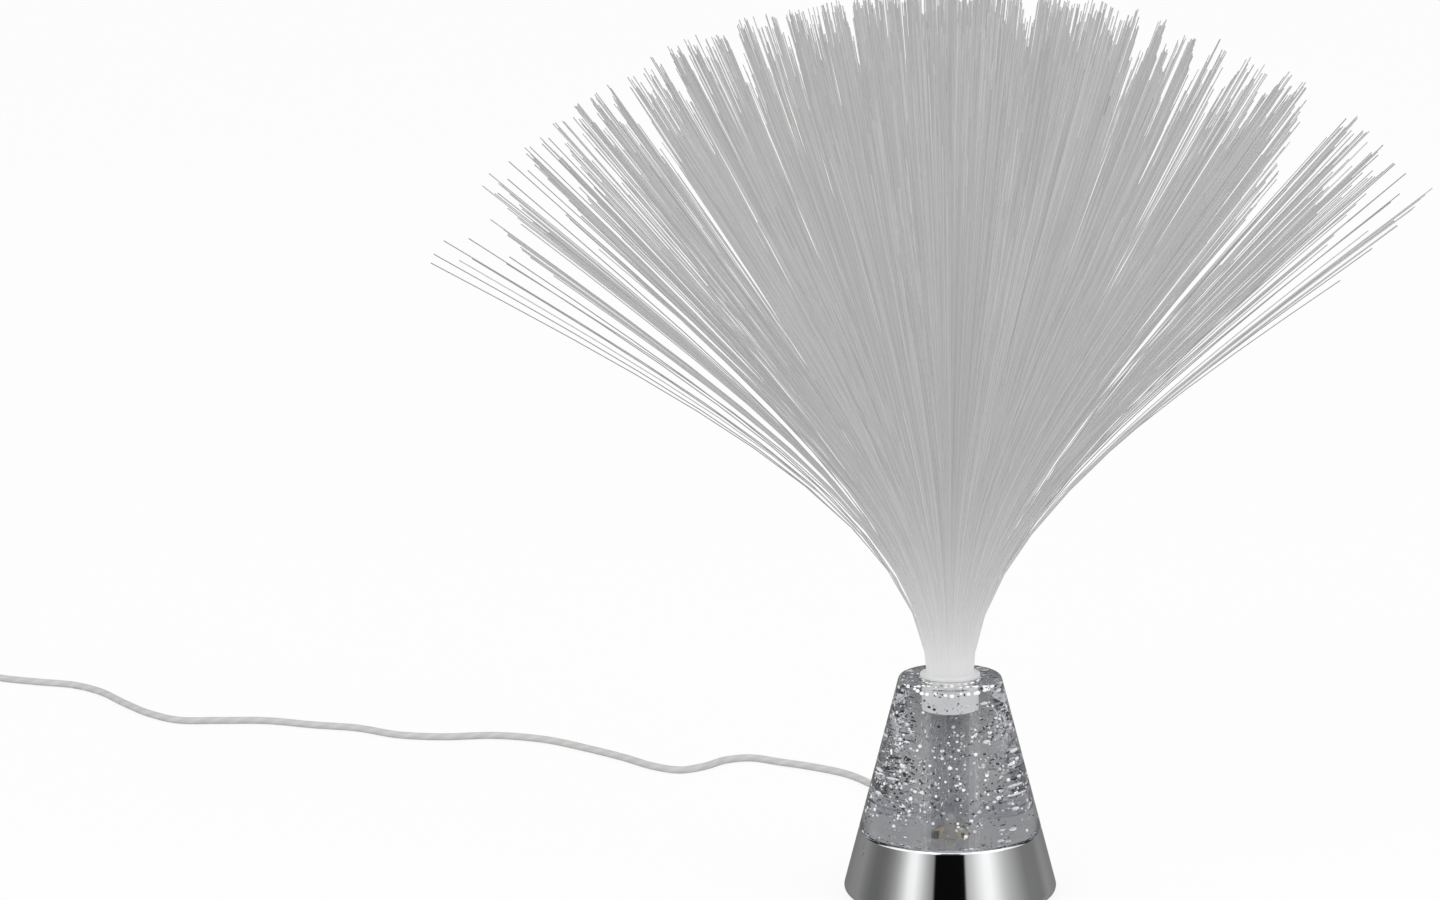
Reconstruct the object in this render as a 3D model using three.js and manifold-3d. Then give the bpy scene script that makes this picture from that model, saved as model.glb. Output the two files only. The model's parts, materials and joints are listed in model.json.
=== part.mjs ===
// A table lamp: a chrome and clear acrylic cone that lights a spray of plastic fibres from below.
// Millimetres, +Z up. The table is z = 0, the cone stands on the z axis, and its front faces -Y.
import * as THREE from 'three';
import { mergeVertices, toCreasedNormals } from 'three/addons/utils/BufferGeometryUtils.js';
import Module from 'manifold-3d';

const wasm = await Module();
wasm.setup();

// Clearances and facets
const seatGap = 0.3; // between pieces that rest on or meet each other
const slideGap = 0.3; // round what slides or turns
const cutOverrun = 1; // how far every cutter runs past the face that it opens
const bigSides = 44;
const midSides = 24;
const smallSides = 10;
const screwSides = 8;
const wireSides = 6;
const filletSteps = 3;

// The cone, chrome below the seam and acrylic above it
const baseRadius = 40; // the side's radius at the height of the lower edge's rounding centre
const topRadius = 19.1; // where the side would meet the top face
const seamHeight = 25.6;
const topHeight = 84.6;
const footGap = 0.6; // from the table to the chrome's lower edge
const lowerEdgeRound = 3;
const topEdgeRound = 1.8;

// Chrome shell
const shellWall = 1.8;
const rimWidth = 3.3; // of the flat rim on which the acrylic stands
const rimRound = 0.8;
const recessDepth = 3; // from the rim down to the shelf
const shelfThickness = 1.6;
const windowLip = 1.2; // of shelf over the board's edge, round the light's opening
const landWidth = 1; // of the lower edge inside its rounding
const bossRadius = 2.8;
const bossInset = 9.8; // of the bosses' circle from the base's radius
const ribThickness = 1.2;
const ribHeightShare = 0.7; // of a boss's height
const carrierBossRadius = 2.5;

// Acrylic cone's bore and mouth
const counterboreDepth = 1.2;

// Ferrule
const flangeRadius = 11.3;
const flangeThickness = 1.8;
const flangeRound = 0.5;
const shoulderInset = 0.9; // from the flange's edge
const shoulderDepth = 4.2;
const sleeveRadius = 7.2;
const sleeveLength = 13; // from the flange's underside down
const mouthInset = 2.4; // from the flange's edge
const flareDepth = 7; // from the mouth down
const bundleRadius = 6; // of the fibres where the sleeve grips them

// Spray
const fibreReach = 258; // free length of a full-length fibre
const fibreFillShare = 0.46; // a fibre's radius, of the pitch of the bundle's rings
const neckHeight = 10; // of the packed bundle above the mouth
const neckSpread = 1.2; // how much wider the packed bundle is at its top than at the mouth
const bendLength = 52; // over which a fibre takes most of its bend
const outerAngle = THREE.MathUtils.degToRad(62); // of the outermost fibres, from upright
const angleLinearShare = 0.72; // of the angle that grows in step with the place in the bundle
const fibreRings = 10;
const fibresPerRingStep = 1.49; // fibres added to each ring of a quarter, ring by ring
const firstRingShare = 0.8; // of a ring's pitch
const straightRings = 7; // inner rings, whose fibres need one stop fewer
const innerStopShares = [0.3, 1];
const outerStopShares = [0.14, 0.4, 1];
const quarterSteps = 6; // facets round a quarter of the packed bundle
const lengthSpreadShare = 0.07;
const scatterShare = 0.6; // of the room to the next fibre, at the tips
const quarterGap = 0.1;
const quarterNames = ['rear_right', 'rear_left', 'front_left', 'front_right'];

// LED and its board
const boardRadius = 12.2;
const boardThickness = 1.6;
const boardFlat = 1.4; // cut off one side of the board
const wireHoleRadius = 0.9;
const ledRadius = 2.5;
const ledLip = 0.4;
const ledLipHeight = 1;
const ledBodyHeight = 6.2;
const chipSize = [4.9, 3.9, 1.4];
const chipPlaceShare = 0.63; // of the light's opening
const resistorSize = [1.6, 3.2, 0.6];
const resistorPlaceShare = 0.5;
const carrierEdge = 0.4; // of the carrier past the bosses
const carrierThickness = 2;
const carrierHoleRadius = 4;
const carrierRimWall = 1;
const carrierRimHeight = 1.6;

// Screws
const screwRadius = 1.2;
const screwHeadRadius = 2.3;
const screwHeadHeight = 1.3;
const coverScrewLength = 8;
const carrierScrewLength = 4.6;
const clampScrewLength = 5;
const pilotGap = 0.3;

// Bottom cover, pad and ballast
const padThickness = 1.5;
const padInset = 2.5; // from the cover's edge
const coverGap = 0.3;
const coverScrewCount = 3;
const recessFloor = 1; // of cover under a screw's head
const ballastInset = 17.5; // from the base's radius
const ballastHoleShare = 0.6; // of the ballast's radius
const ballastChamfer = 0.8;
const wireRoom = 4.4; // from the ballast up to the board carrier
const ballastRimWall = 1.2;
const ballastRimHeight = 3;

// Cord and what holds it in the base
const cordRadius = 1.5;
const cordSides = 8;
const cordStep = 9;
const clampGap = 1; // from the clamp to the grommet
const clampWidth = 4;
const clampThickness = 1.8;
const clampPostOffset = 5;
const clampPostRadius = 2.2;
const clampPilotDepth = 5.4;
const saddleWidth = 4;
const cordTail = 1.4; // of cord in front of the clamp
const grommetNeck = 3;
const grommetFlange = 4.1;
const grommetFlangeThickness = 1.4;
const grommetLift = 0.5; // of the grommet's flange above the cover
const grommetTail = 16;
const grommetTailRadius = 3.3;
const grommetEndRadius = 2.3;
const wireRadius = 0.6;
const wireSpread = 1.6;
const wireLead = 1.2;

// Inline switch, lying along X on the table
const switchEntry = [-430, 352]; // where the lamp's cord enters it
const switchLength = 46;
const switchWidth = 17;
const switchHeight = 11;
const switchCornerShare = 0.41; // of the switch's width
const switchBevel = 1.4;
const switchWall = 1.4;
const switchSplit = 5.2; // height of the joint between its shells
const switchCordHeight = 4.6;
const switchGrip = 2.6; // of cord inside each end
const rockerLengthShare = 0.36; // of the switch's length
const rockerWidthShare = 0.47; // of the switch's width
const rockerRise = 2.6; // of its raised ends above its pivot
const rockerDish = 1.2; // of its middle below its ends
const rockerSkirt = 0.6; // of its ends below its pivot
const rockerNub = 3; // of its foot below its pivot
const rockerNubWidth = 6;
const rockerGap = 0.6;
const pivotHeight = 8.2;
const pinRadius = 1.2;
const pinLength = 1.4;
const lugThickness = 1.6;
const lugWidth = 4.4;
const rockerTilt = THREE.MathUtils.degToRad(8); // each way from level
const switchScrewInset = 5.2; // from the cord's end
const switchBossRadius = 2.3;
const switchScrewLength = 6;
const contactWidth = 3;
const contactThickness = 0.4;
const contactStartShare = 0.31; // of the rocker's length
const contactRise = 2;
const bridgeInset = 1.9; // of the wire's axis from the switch's inner wall
const bridgeRadius = 0.6;

// Coil of the unused cord, and the tie round it
const coilTurns = 7.5;
const coilOuter = 23.5; // radius of its outermost turn's axis
const coilGap = 0.5; // from turn to turn, across and up
const coilStepsPerTurn = 24;
const coilSides = 6;
const coilRunOut = 12; // of cord from the switch to the coil, past what is straight
const tieThickness = 0.8;
const tieWidth = 5;

// Plug, lying along X beside the coil
const plugRunOut = 42; // of cord from the coil to the plug
const plugBodyLength = 22;
const plugBodyWidth = 15.4;
const plugBodyHeight = 8;
const plugCorner = 2.6;
const plugBevel = 1.2;
const plugReliefLength = 10;
const plugReliefRadius = 3;
const plugReliefEnd = 2.1;
const plugShellLength = 12; // out of the body
const plugShellSeat = 6; // inside the body
const plugShellWidth = 12;
const plugShellHeight = 4.5;
const plugShellWall = 0.4;
const plugWindow = 2.2;
const plugWindowOffset = 2.4;
const tongueThickness = 1.8;
const tongueRecess = 0.9;

const looks = {
  chrome: { color: 0xcfd1d3, roughness: 0.06, metalness: 1 },
  acrylic: { color: 0xd6dadf, roughness: 0.05, metalness: 0, transparent: true, opacity: 0.45 },
  whitePlastic: { color: 0xe4e4e2, roughness: 0.4, metalness: 0 },
  fibre: { color: 0xb4b5b6, roughness: 0.35, metalness: 0 },
  board: { color: 0xb9ae8c, roughness: 0.6, metalness: 0 },
  led: { color: 0xf2f2ee, roughness: 0.15, metalness: 0 },
  chip: { color: 0x1c1c1e, roughness: 0.5, metalness: 0 },
  steel: { color: 0x9a9c9e, roughness: 0.35, metalness: 1 },
  brass: { color: 0xc2a35a, roughness: 0.3, metalness: 1 },
  blackPlastic: { color: 0x202124, roughness: 0.55, metalness: 0 },
  foam: { color: 0x2b2c2e, roughness: 0.95, metalness: 0 },
  rubber: { color: 0xd8d8d6, roughness: 0.6, metalness: 0 },
  cord: { color: 0xd3d3d2, roughness: 0.45, metalness: 0 },
  redWire: { color: 0xb02a26, roughness: 0.5, metalness: 0 },
};

// Solids from three.js geometry, and back

function solidOf(geometry) {
  const bare = geometry.clone();
  bare.deleteAttribute('normal');
  bare.deleteAttribute('uv');
  const merged = mergeVertices(bare);
  const corners = merged.index.array;
  const kept = [];
  for (let i = 0; i < corners.length; i += 3) {
    const [a, b, c] = corners.slice(i, i + 3);
    if (a !== b && b !== c && c !== a) {
      kept.push(a, b, c);
    }
  }
  return new wasm.Manifold(
    new wasm.Mesh({
      numProp: 3,
      vertProperties: merged.attributes.position.array,
      triVerts: new Uint32Array(kept),
    }),
  );
}

function geometryOf(solid) {
  const mesh = solid.getMesh();
  const geometry = new THREE.BufferGeometry();
  geometry.setAttribute('position', new THREE.BufferAttribute(mesh.vertProperties, mesh.numProp));
  geometry.setIndex(new THREE.BufferAttribute(mesh.triVerts, 1));
  return toCreasedNormals(geometry, creaseAngle);
}

function join(first, ...others) {
  return geometryOf(others.reduce((solid, other) => solid.add(solidOf(other)), solidOf(first)));
}

function cut(first, ...cutters) {
  return geometryOf(cutters.reduce((solid, cutter) => solid.subtract(solidOf(cutter)), solidOf(first)));
}

function common(first, second) {
  return geometryOf(solidOf(first).intersect(solidOf(second)));
}

// Shapes that several pieces use

function latheAboutZ(profile, sides) {
  const outline = profile.map(([radius, height]) => new THREE.Vector2(radius, height));
  return new THREE.LatheGeometry(outline, sides).rotateX(Math.PI / 2);
}

function closed(profile) {
  return [...profile, profile[0]];
}

function arcPoints(centreRadius, centreHeight, radius, from, to) {
  const points = [];
  for (let i = 0; i <= filletSteps; i += 1) {
    const angle = from + ((to - from) * i) / filletSteps;
    points.push([centreRadius + radius * Math.cos(angle), centreHeight + radius * Math.sin(angle)]);
  }
  return points;
}

function disc(radius, bottom, top, sides = midSides) {
  return latheAboutZ([[0, bottom], [radius, bottom], [radius, top], [0, top]], sides);
}

function ring(inner, outer, bottom, top, sides = midSides) {
  return latheAboutZ(closed([[inner, bottom], [outer, bottom], [outer, top], [inner, top]]), sides);
}

function block(width, depth, bottom, top) {
  return new THREE.BoxGeometry(width, depth, top - bottom).translate(0, 0, (bottom + top) / 2);
}

function alongX(geometry) {
  return geometry.rotateY(Math.PI / 2);
}

function alongY(geometry) {
  return geometry.rotateX(-Math.PI / 2);
}

function roundedPlate(length, width, corner, height, bevel = 0) {
  const x = length / 2 - corner;
  const y = width / 2 - corner;
  const outline = new THREE.Shape();
  outline.absarc(x, y, corner, 0, Math.PI / 2);
  outline.absarc(-x, y, corner, Math.PI / 2, Math.PI);
  outline.absarc(-x, -y, corner, Math.PI, (3 * Math.PI) / 2);
  outline.absarc(x, -y, corner, (3 * Math.PI) / 2, 2 * Math.PI);
  return new THREE.ExtrudeGeometry(outline, {
    depth: height - 2 * bevel,
    bevelEnabled: bevel > 0,
    bevelThickness: bevel,
    bevelSize: bevel,
    bevelOffset: -bevel,
    bevelSegments: 2,
    curveSegments: 4,
  }).translate(0, 0, bevel);
}

// A ring of corners round each point of a path. Its first corner lies in the reference direction.
function ringsRound(points, radius, sides, reference) {
  return points.map((point, i) => {
    const before = points[Math.max(i - 1, 0)];
    const after = points[Math.min(i + 1, points.length - 1)];
    const forward = after.clone().sub(before).normalize();
    const up = reference.clone().addScaledVector(forward, -reference.dot(forward)).normalize();
    const side = forward.clone().cross(up);
    return Array.from({ length: sides }, (_, k) => {
      const angle = (2 * Math.PI * k) / sides;
      return point
        .clone()
        .addScaledVector(up, radius * Math.cos(angle))
        .addScaledVector(side, radius * Math.sin(angle));
    });
  });
}

// The corner positions, three to a face, of the walls between one ring of corners and the next
function wallsBetween(rings) {
  const corners = [];
  for (let i = 0; i < rings.length - 1; i += 1) {
    const [low, high] = [rings[i], rings[i + 1]];
    low.forEach((a, k) => {
      const next = (k + 1) % low.length;
      corners.push(a, low[next], high[k], low[next], high[next], high[k]);
    });
  }
  return corners;
}

// A face over one ring, seen from its end of the path
function capOver(ring) {
  const corners = [];
  for (let k = 1; k < ring.length - 1; k += 1) {
    corners.push(ring[0], ring[k], ring[k + 1]);
  }
  return corners;
}

function geometryThrough(corners) {
  return new THREE.BufferGeometry().setFromPoints(corners);
}

function tubeThrough(points, radius, sides, reference) {
  const rings = ringsRound(points, radius, sides, reference);
  const first = [...rings[0]].reverse();
  return geometryThrough([...wallsBetween(rings), ...capOver(first), ...capOver(rings[rings.length - 1])]);
}

// A cord stretch: a round section that follows a smooth curve
function cordAlong(points, radius = cordRadius, sides = cordSides, step = cordStep) {
  const route = new THREE.CatmullRomCurve3(points, false, 'centripetal');
  const section = new THREE.Shape();
  for (let k = 0; k < sides; k += 1) {
    const angle = (2 * Math.PI * k) / sides;
    const [x, y] = [radius * Math.cos(angle), radius * Math.sin(angle)];
    if (k === 0) {
      section.moveTo(x, y);
    } else {
      section.lineTo(x, y);
    }
  }
  section.closePath();
  return new THREE.ExtrudeGeometry(section, {
    steps: Math.ceil(route.getLength() / step),
    extrudePath: route,
    bevelEnabled: false,
  });
}

// Heights and radii that follow from the sizes
const creaseAngle = THREE.MathUtils.degToRad(30);
const roundHeight = footGap + lowerEdgeRound;
const sideSlope = Math.atan((baseRadius - topRadius) / (topHeight - roundHeight));
const shelfTop = seamHeight - recessDepth;
const shelfBottom = shelfTop - shelfThickness;
const recessRadius = sideRadius(seamHeight) - rimWidth;
const coverBottom = padThickness + seatGap;
const coverThickness = recessFloor + seatGap + screwHeadHeight;
const coverTop = coverBottom + coverThickness;
const coverScrewSeat = coverTop - recessFloor - seatGap;
const cordHeight = coverTop + grommetLift + grommetFlange; // of its axis where it leaves the base
const landRadius = baseRadius - lowerEdgeRound - landWidth;
const coverRadius = landRadius - coverGap;
const padRadius = coverRadius - padInset;
const bossCircle = baseRadius - bossInset;
const ballastRadius = baseRadius - ballastInset;
const ballastHoleRadius = ballastRadius * ballastHoleShare;
const boardTop = shelfBottom - seatGap;
const boardBottom = boardTop - boardThickness;
const windowRadius = boardRadius - windowLip;
const carrierBossOffset = boardRadius + carrierBossRadius + 2 * seatGap;
const carrierRadius = carrierBossOffset + carrierBossRadius + carrierEdge;
const carrierTop = boardBottom - seatGap;
const carrierBottom = carrierTop - carrierThickness;
const ballastBottom = coverTop + seatGap;
const ballastTop = carrierBottom - wireRoom;
const boreRadius = sleeveRadius + slideGap;
const shoulderRadius = flangeRadius - shoulderInset;
const mouthRadius = flangeRadius - mouthInset;
const flangeBottom = topHeight - counterboreDepth + seatGap;
const mouthHeight = flangeBottom + flangeThickness;
const sleeveBottom = flangeBottom - sleeveLength;
const grommetInner = innerSide(cordHeight + grommetFlange) - seatGap - grommetFlangeThickness;
const clampPlace = grommetInner - clampGap - clampWidth / 2;
const clampInner = clampPlace - clampWidth / 2;
const cordInnerEnd = clampInner - cordTail;
const pilotRadius = screwRadius + pilotGap;
const switchPlace = [switchEntry[0] - switchLength / 2, switchEntry[1]];
const switchScrewOffset = switchLength / 2 - switchGrip - switchScrewInset;
const switchFootRadius = switchBossRadius + switchWall / 2;
const switchCorner = switchWidth * switchCornerShare;
const bridgeOffset = switchWidth / 2 - switchWall - bridgeInset;
const rockerLength = switchLength * rockerLengthShare;
const rockerWidth = switchWidth * rockerWidthShare;
const contactStart = rockerLength * contactStartShare;
const contactFoot = switchScrewOffset - switchFootRadius - 2 * seatGap - contactStart;
const coilPitch = 2 * cordRadius + coilGap;

function sideRadius(height) {
  return baseRadius - (height - roundHeight) * Math.tan(sideSlope);
}

// Where an edge rounding between the side and a level top has its centre
function edgeCentre(top, round) {
  return [sideRadius(top - round) - round / Math.cos(sideSlope), top - round];
}

function innerSide(height) {
  return sideRadius(height) - shellWall / Math.cos(sideSlope);
}

// Everything inside the cone's side, moved out by a clearance
function coneFill(clearance) {
  const move = clearance / Math.cos(sideSlope);
  return latheAboutZ(
    [[0, 0], [sideRadius(0) + move, 0], [sideRadius(topHeight) + move, topHeight], [0, topHeight]],
    bigSides,
  );
}

function coverScrewPlaces() {
  return Array.from({ length: coverScrewCount }, (_, i) => {
    const angle = (2 * Math.PI * i) / coverScrewCount - Math.PI / 2;
    return { x: bossCircle * Math.cos(angle), y: bossCircle * Math.sin(angle), angle };
  });
}

function makeChromeShell() {
  const roundCentre = baseRadius - lowerEdgeRound / Math.cos(sideSlope);
  const [rimCentre, rimHeight] = edgeCentre(seamHeight, rimRound);
  const landTop = coverTop + seatGap;
  const flareTop = landTop + shellWall;
  const body = latheAboutZ(
    closed([
      [landRadius, footGap],
      ...arcPoints(roundCentre, roundHeight, lowerEdgeRound, -Math.PI / 2, sideSlope),
      ...arcPoints(rimCentre, rimHeight, rimRound, sideSlope, Math.PI / 2),
      [recessRadius, seamHeight],
      [recessRadius, shelfTop],
      [windowRadius, shelfTop],
      [windowRadius, shelfBottom],
      [innerSide(shelfBottom), shelfBottom],
      [innerSide(flareTop), flareTop],
      [landRadius, landTop],
    ]),
    bigSides,
  );
  const shelfMiddle = shelfBottom + shelfThickness / 2;
  const bossBottom = coverTop + seatGap;
  const ribBottom = shelfMiddle - (shelfMiddle - bossBottom) * ribHeightShare;
  const added = [];
  const cutters = [];
  coverScrewPlaces().forEach(({ x, y, angle }) => {
    const ribLength = baseRadius - bossCircle;
    const rib = block(ribLength, ribThickness, ribBottom, shelfMiddle)
      .translate(bossCircle + ribLength / 2, 0, 0)
      .rotateZ(angle);
    added.push(disc(bossRadius, bossBottom, shelfMiddle, smallSides).translate(x, y, 0));
    added.push(common(rib, coneFill(-shellWall / 2)));
    cutters.push(
      disc(pilotRadius, bossBottom - cutOverrun, coverScrewSeat + coverScrewLength + pilotGap, smallSides)
        .translate(x, y, 0),
    );
  });
  [-carrierBossOffset, carrierBossOffset].forEach((x) => {
    added.push(disc(carrierBossRadius, carrierTop + seatGap, shelfMiddle, smallSides).translate(x, 0, 0));
    cutters.push(
      disc(pilotRadius, carrierTop - cutOverrun, carrierBottom + carrierScrewLength + pilotGap, smallSides)
        .translate(x, 0, 0),
    );
  });
  const seat = alongY(disc(grommetFlange + seatGap, clampPlace, baseRadius)).translate(0, 0, cordHeight);
  cutters.push(
    alongY(disc(grommetNeck + seatGap, clampPlace, baseRadius + cutOverrun)).translate(0, 0, cordHeight),
    common(seat, coneFill(seatGap / 2 - shellWall)),
  );
  return cut(join(body, ...added), ...cutters);
}

function makeAcrylicCone() {
  const shoulder = seamHeight + seatGap;
  const spigotBottom = shelfTop + seatGap;
  const spigotRadius = recessRadius - seatGap;
  const [edgeRadius, edgeHeight] = edgeCentre(topHeight, topEdgeRound);
  const counterboreFloor = topHeight - counterboreDepth;
  return latheAboutZ(
    closed([
      [boreRadius, spigotBottom],
      [spigotRadius, spigotBottom],
      [spigotRadius, shoulder],
      [sideRadius(shoulder), shoulder],
      ...arcPoints(edgeRadius, edgeHeight, topEdgeRound, sideSlope, Math.PI / 2),
      [flangeRadius + slideGap, topHeight],
      [flangeRadius + slideGap, counterboreFloor],
      [shoulderRadius + slideGap, counterboreFloor],
      [boreRadius, counterboreFloor - shoulderDepth],
    ]),
    bigSides,
  );
}

function makeFerrule() {
  const innerRadius = bundleRadius + seatGap;
  return latheAboutZ(
    closed([
      [innerRadius, sleeveBottom],
      [sleeveRadius, sleeveBottom],
      [sleeveRadius, flangeBottom - shoulderDepth],
      [shoulderRadius, flangeBottom],
      ...arcPoints(flangeRadius - flangeRound, flangeBottom + flangeRound, flangeRound, -Math.PI / 2, 0),
      ...arcPoints(flangeRadius - flangeRound, mouthHeight - flangeRound, flangeRound, 0, Math.PI / 2),
      [mouthRadius, mouthHeight],
      [innerRadius, mouthHeight - flareDepth],
    ]),
    midSides,
  );
}

// Fibres

const fibreSlices = 60; // in which a fibre's curve is summed
const bundleMouth = mouthRadius - seatGap;
const neckTop = mouthHeight + neckHeight;
const neckRadius = bundleMouth + neckSpread;
const ringPitch = bundleMouth / (fibreRings + firstRingShare / 2);
const fibreRadius = ringPitch * fibreFillShare;

// A repeatable scatter between -1 and 1 for each number
function scatter(number) {
  const wave = Math.sin(number * 12.9898) * 43758.5453;
  return 2 * (wave - Math.floor(wave)) - 1;
}

// Points of a fibre at its root and at the given shares of its length. It stands upright at the mouth
// and leans out to its end angle, so at its root, above the mouth, it already leans a little.
function fibrePoints(root, azimuth, swing, endAngle, length, stopShares) {
  const slice = length / fibreSlices;
  const points = [new THREE.Vector3(root * Math.cos(azimuth), root * Math.sin(azimuth), neckTop)];
  let radius = root;
  let height = neckTop;
  for (let i = 1; i <= fibreSlices; i += 1) {
    const angle = endAngle * (1 - Math.exp(-(neckHeight + (i - 0.5) * slice) / bendLength));
    radius += slice * Math.sin(angle);
    height += slice * Math.cos(angle);
    if (i >= stopShares[points.length - 1] * fibreSlices) {
      const turn = azimuth + (swing * i) / fibreSlices;
      points.push(new THREE.Vector3(radius * Math.cos(turn), radius * Math.sin(turn), height));
    }
  }
  return points;
}

// The rings of every fibre of one quarter, in the quarter between +X and +Y
function fibresOfQuarter(quarter) {
  const fibres = [];
  for (let ringNumber = 0; ringNumber < fibreRings; ringNumber += 1) {
    const radius = ringPitch * (ringNumber + firstRingShare);
    const root = (radius * neckRadius) / bundleMouth;
    const share = radius / bundleMouth;
    const lean = outerAngle * share * (angleLinearShare + (1 - angleLinearShare) * share * share);
    const count = Math.max(1, Math.round(fibresPerRingStep * (ringNumber + 0.5)));
    const edge = Math.asin(quarterGap / 2 / root);
    const room = (Math.PI / 2 - 2 * edge) / count;
    for (let k = 0; k < count; k += 1) {
      const number = fibres.length + quarter * fibreSlices * fibreRings;
      const azimuth = edge + room * (k + 0.5);
      const swing = (scatter(number) * scatterShare * room) / 2;
      const endAngle = lean * (1 + (scatter(number + 0.3) * scatterShare) / (2 * fibreRings));
      const reach = fibreReach * (1 - (lengthSpreadShare * (1 + scatter(number + 0.6))) / 2);
      const stopShares = ringNumber < straightRings ? innerStopShares : outerStopShares;
      const points = fibrePoints(root, azimuth, swing, endAngle, reach - neckHeight, stopShares);
      const across = new THREE.Vector3(-Math.sin(azimuth), Math.cos(azimuth), 0);
      const rings = ringsRound(points, fibreRadius, 3, across);
      rings[0].forEach((corner) => corner.setZ(neckTop));
      fibres.push(rings);
    }
  }
  return fibres;
}

// A level section of the packed quarter: its inner corner and the points round its outside
function quarterSection(radius, height) {
  const edge = quarterGap / 2;
  const from = Math.asin(edge / radius);
  const section = [new THREE.Vector3(edge, edge, height)];
  for (let i = 0; i <= quarterSteps; i += 1) {
    const angle = from + ((Math.PI / 2 - 2 * from) * i) / quarterSteps;
    section.push(new THREE.Vector3(radius * Math.cos(angle), radius * Math.sin(angle), height));
  }
  return section;
}

// A quarter of the packed bundle, with its fibres standing out of its top face
function makeFibreQuarter(quarter) {
  const sections = [
    quarterSection(bundleRadius, sleeveBottom),
    quarterSection(bundleRadius, mouthHeight - flareDepth),
    quarterSection(bundleMouth, mouthHeight),
    quarterSection(neckRadius, neckTop),
  ];
  const top = sections[sections.length - 1];
  const fibres = fibresOfQuarter(quarter);
  const roots = fibres.map((rings) => [...rings[0]].reverse());
  const rim = [...top, ...roots.flat()];
  const faces = THREE.ShapeUtils.triangulateShape(top, roots).flat().map((corner) => rim[corner]);
  return geometryThrough([
    ...wallsBetween(sections),
    ...capOver([...sections[0]].reverse()),
    ...faces,
    ...fibres.flatMap((rings) => [...wallsBetween(rings), ...capOver(rings[rings.length - 1])]),
  ]).rotateZ((quarter * Math.PI) / 2);
}

// LED, its board and the carrier that clamps the board under the shelf

function makeLedBoard() {
  const board = disc(boardRadius, boardBottom, boardTop);
  const flat = block(2 * boardRadius, 2 * boardFlat, boardBottom - cutOverrun, boardTop + cutOverrun)
    .translate(0, boardRadius, 0);
  const holes = [-wireSpread, wireSpread].map((x) =>
    disc(wireHoleRadius, boardBottom - cutOverrun, boardTop + cutOverrun, smallSides)
      .translate(x, -boardRadius / 2, 0),
  );
  return cut(board, flat, ...holes);
}

function makeLed() {
  const bottom = boardTop + seatGap;
  const domeStart = bottom + ledBodyHeight;
  const dome = arcPoints(0, domeStart, ledRadius, 0, Math.PI / 2).slice(0, -1);
  return latheAboutZ(
    [
      [0, bottom],
      [ledRadius + ledLip, bottom],
      [ledRadius + ledLip, bottom + ledLipHeight],
      [ledRadius, bottom + ledLipHeight],
      ...dome,
      [0, domeStart + ledRadius],
    ],
    smallSides,
  );
}

function makeBoardPart([width, depth, height], offset) {
  const bottom = boardTop + seatGap;
  return block(width, depth, bottom, bottom + height).translate(offset, 0, 0);
}

function makeBoardCarrier() {
  const rimInner = boardRadius + seatGap;
  const plate = ring(carrierHoleRadius, carrierRadius, carrierBottom, carrierTop);
  const rim = ring(
    rimInner,
    rimInner + carrierRimWall,
    carrierTop - carrierThickness / 2,
    carrierTop + carrierRimHeight,
  );
  const notch = 2 * (carrierBossRadius + 2 * seatGap);
  const cutters = [-carrierBossOffset, carrierBossOffset].flatMap((x) => [
    block(notch, notch, carrierTop, carrierTop + carrierRimHeight + cutOverrun).translate(x, 0, 0),
    disc(pilotRadius, carrierBottom - cutOverrun, carrierTop + cutOverrun, smallSides).translate(x, 0, 0),
  ]);
  return cut(join(plate, rim), ...cutters);
}

// A pan-head screw that points up. Its head's seat is z = 0.
function makeScrew(length) {
  return latheAboutZ(
    [
      [0, -screwHeadHeight],
      [screwHeadRadius, -screwHeadHeight],
      [screwHeadRadius, 0],
      [screwRadius, 0],
      [screwRadius, length - screwRadius],
      [0, length],
    ],
    screwSides,
  );
}

// Bottom cover, pad and ballast

function makeBottomCover() {
  const plate = disc(coverRadius, coverBottom, coverTop, bigSides);
  const middle = coverBottom + coverThickness / 2;
  const rimInner = ballastRadius + seatGap;
  const rim = ring(rimInner, rimInner + ballastRimWall, middle, coverTop + ballastRimHeight);
  const saddle = block(saddleWidth, clampWidth, middle, cordHeight - cordRadius - seatGap)
    .translate(0, clampPlace, 0);
  const postTop = cordHeight + cordRadius;
  const posts = [-clampPostOffset, clampPostOffset].map((x) =>
    disc(clampPostRadius, middle, postTop, smallSides).translate(x, clampPlace, 0),
  );
  const pilots = [-clampPostOffset, clampPostOffset].map((x) =>
    disc(pilotRadius, postTop - clampPilotDepth, postTop + cutOverrun, smallSides)
      .translate(x, clampPlace, 0),
  );
  const headFloor = coverTop - recessFloor;
  const screwHoles = coverScrewPlaces().flatMap(({ x, y }) => [
    disc(pilotRadius, coverBottom - cutOverrun, coverTop + cutOverrun, smallSides).translate(x, y, 0),
    disc(screwHeadRadius + seatGap, coverBottom - cutOverrun, headFloor, smallSides).translate(x, y, 0),
  ]);
  return cut(join(plate, rim, saddle, ...posts), ...pilots, ...screwHoles);
}

function makeBallastRing() {
  return latheAboutZ(
    closed([
      [ballastHoleRadius, ballastBottom],
      [ballastRadius, ballastBottom],
      [ballastRadius, ballastTop - ballastChamfer],
      [ballastRadius - ballastChamfer, ballastTop],
      [ballastHoleRadius, ballastTop],
    ]),
    midSides,
  );
}

// Cord grommet, clamp and inner wires

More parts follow.
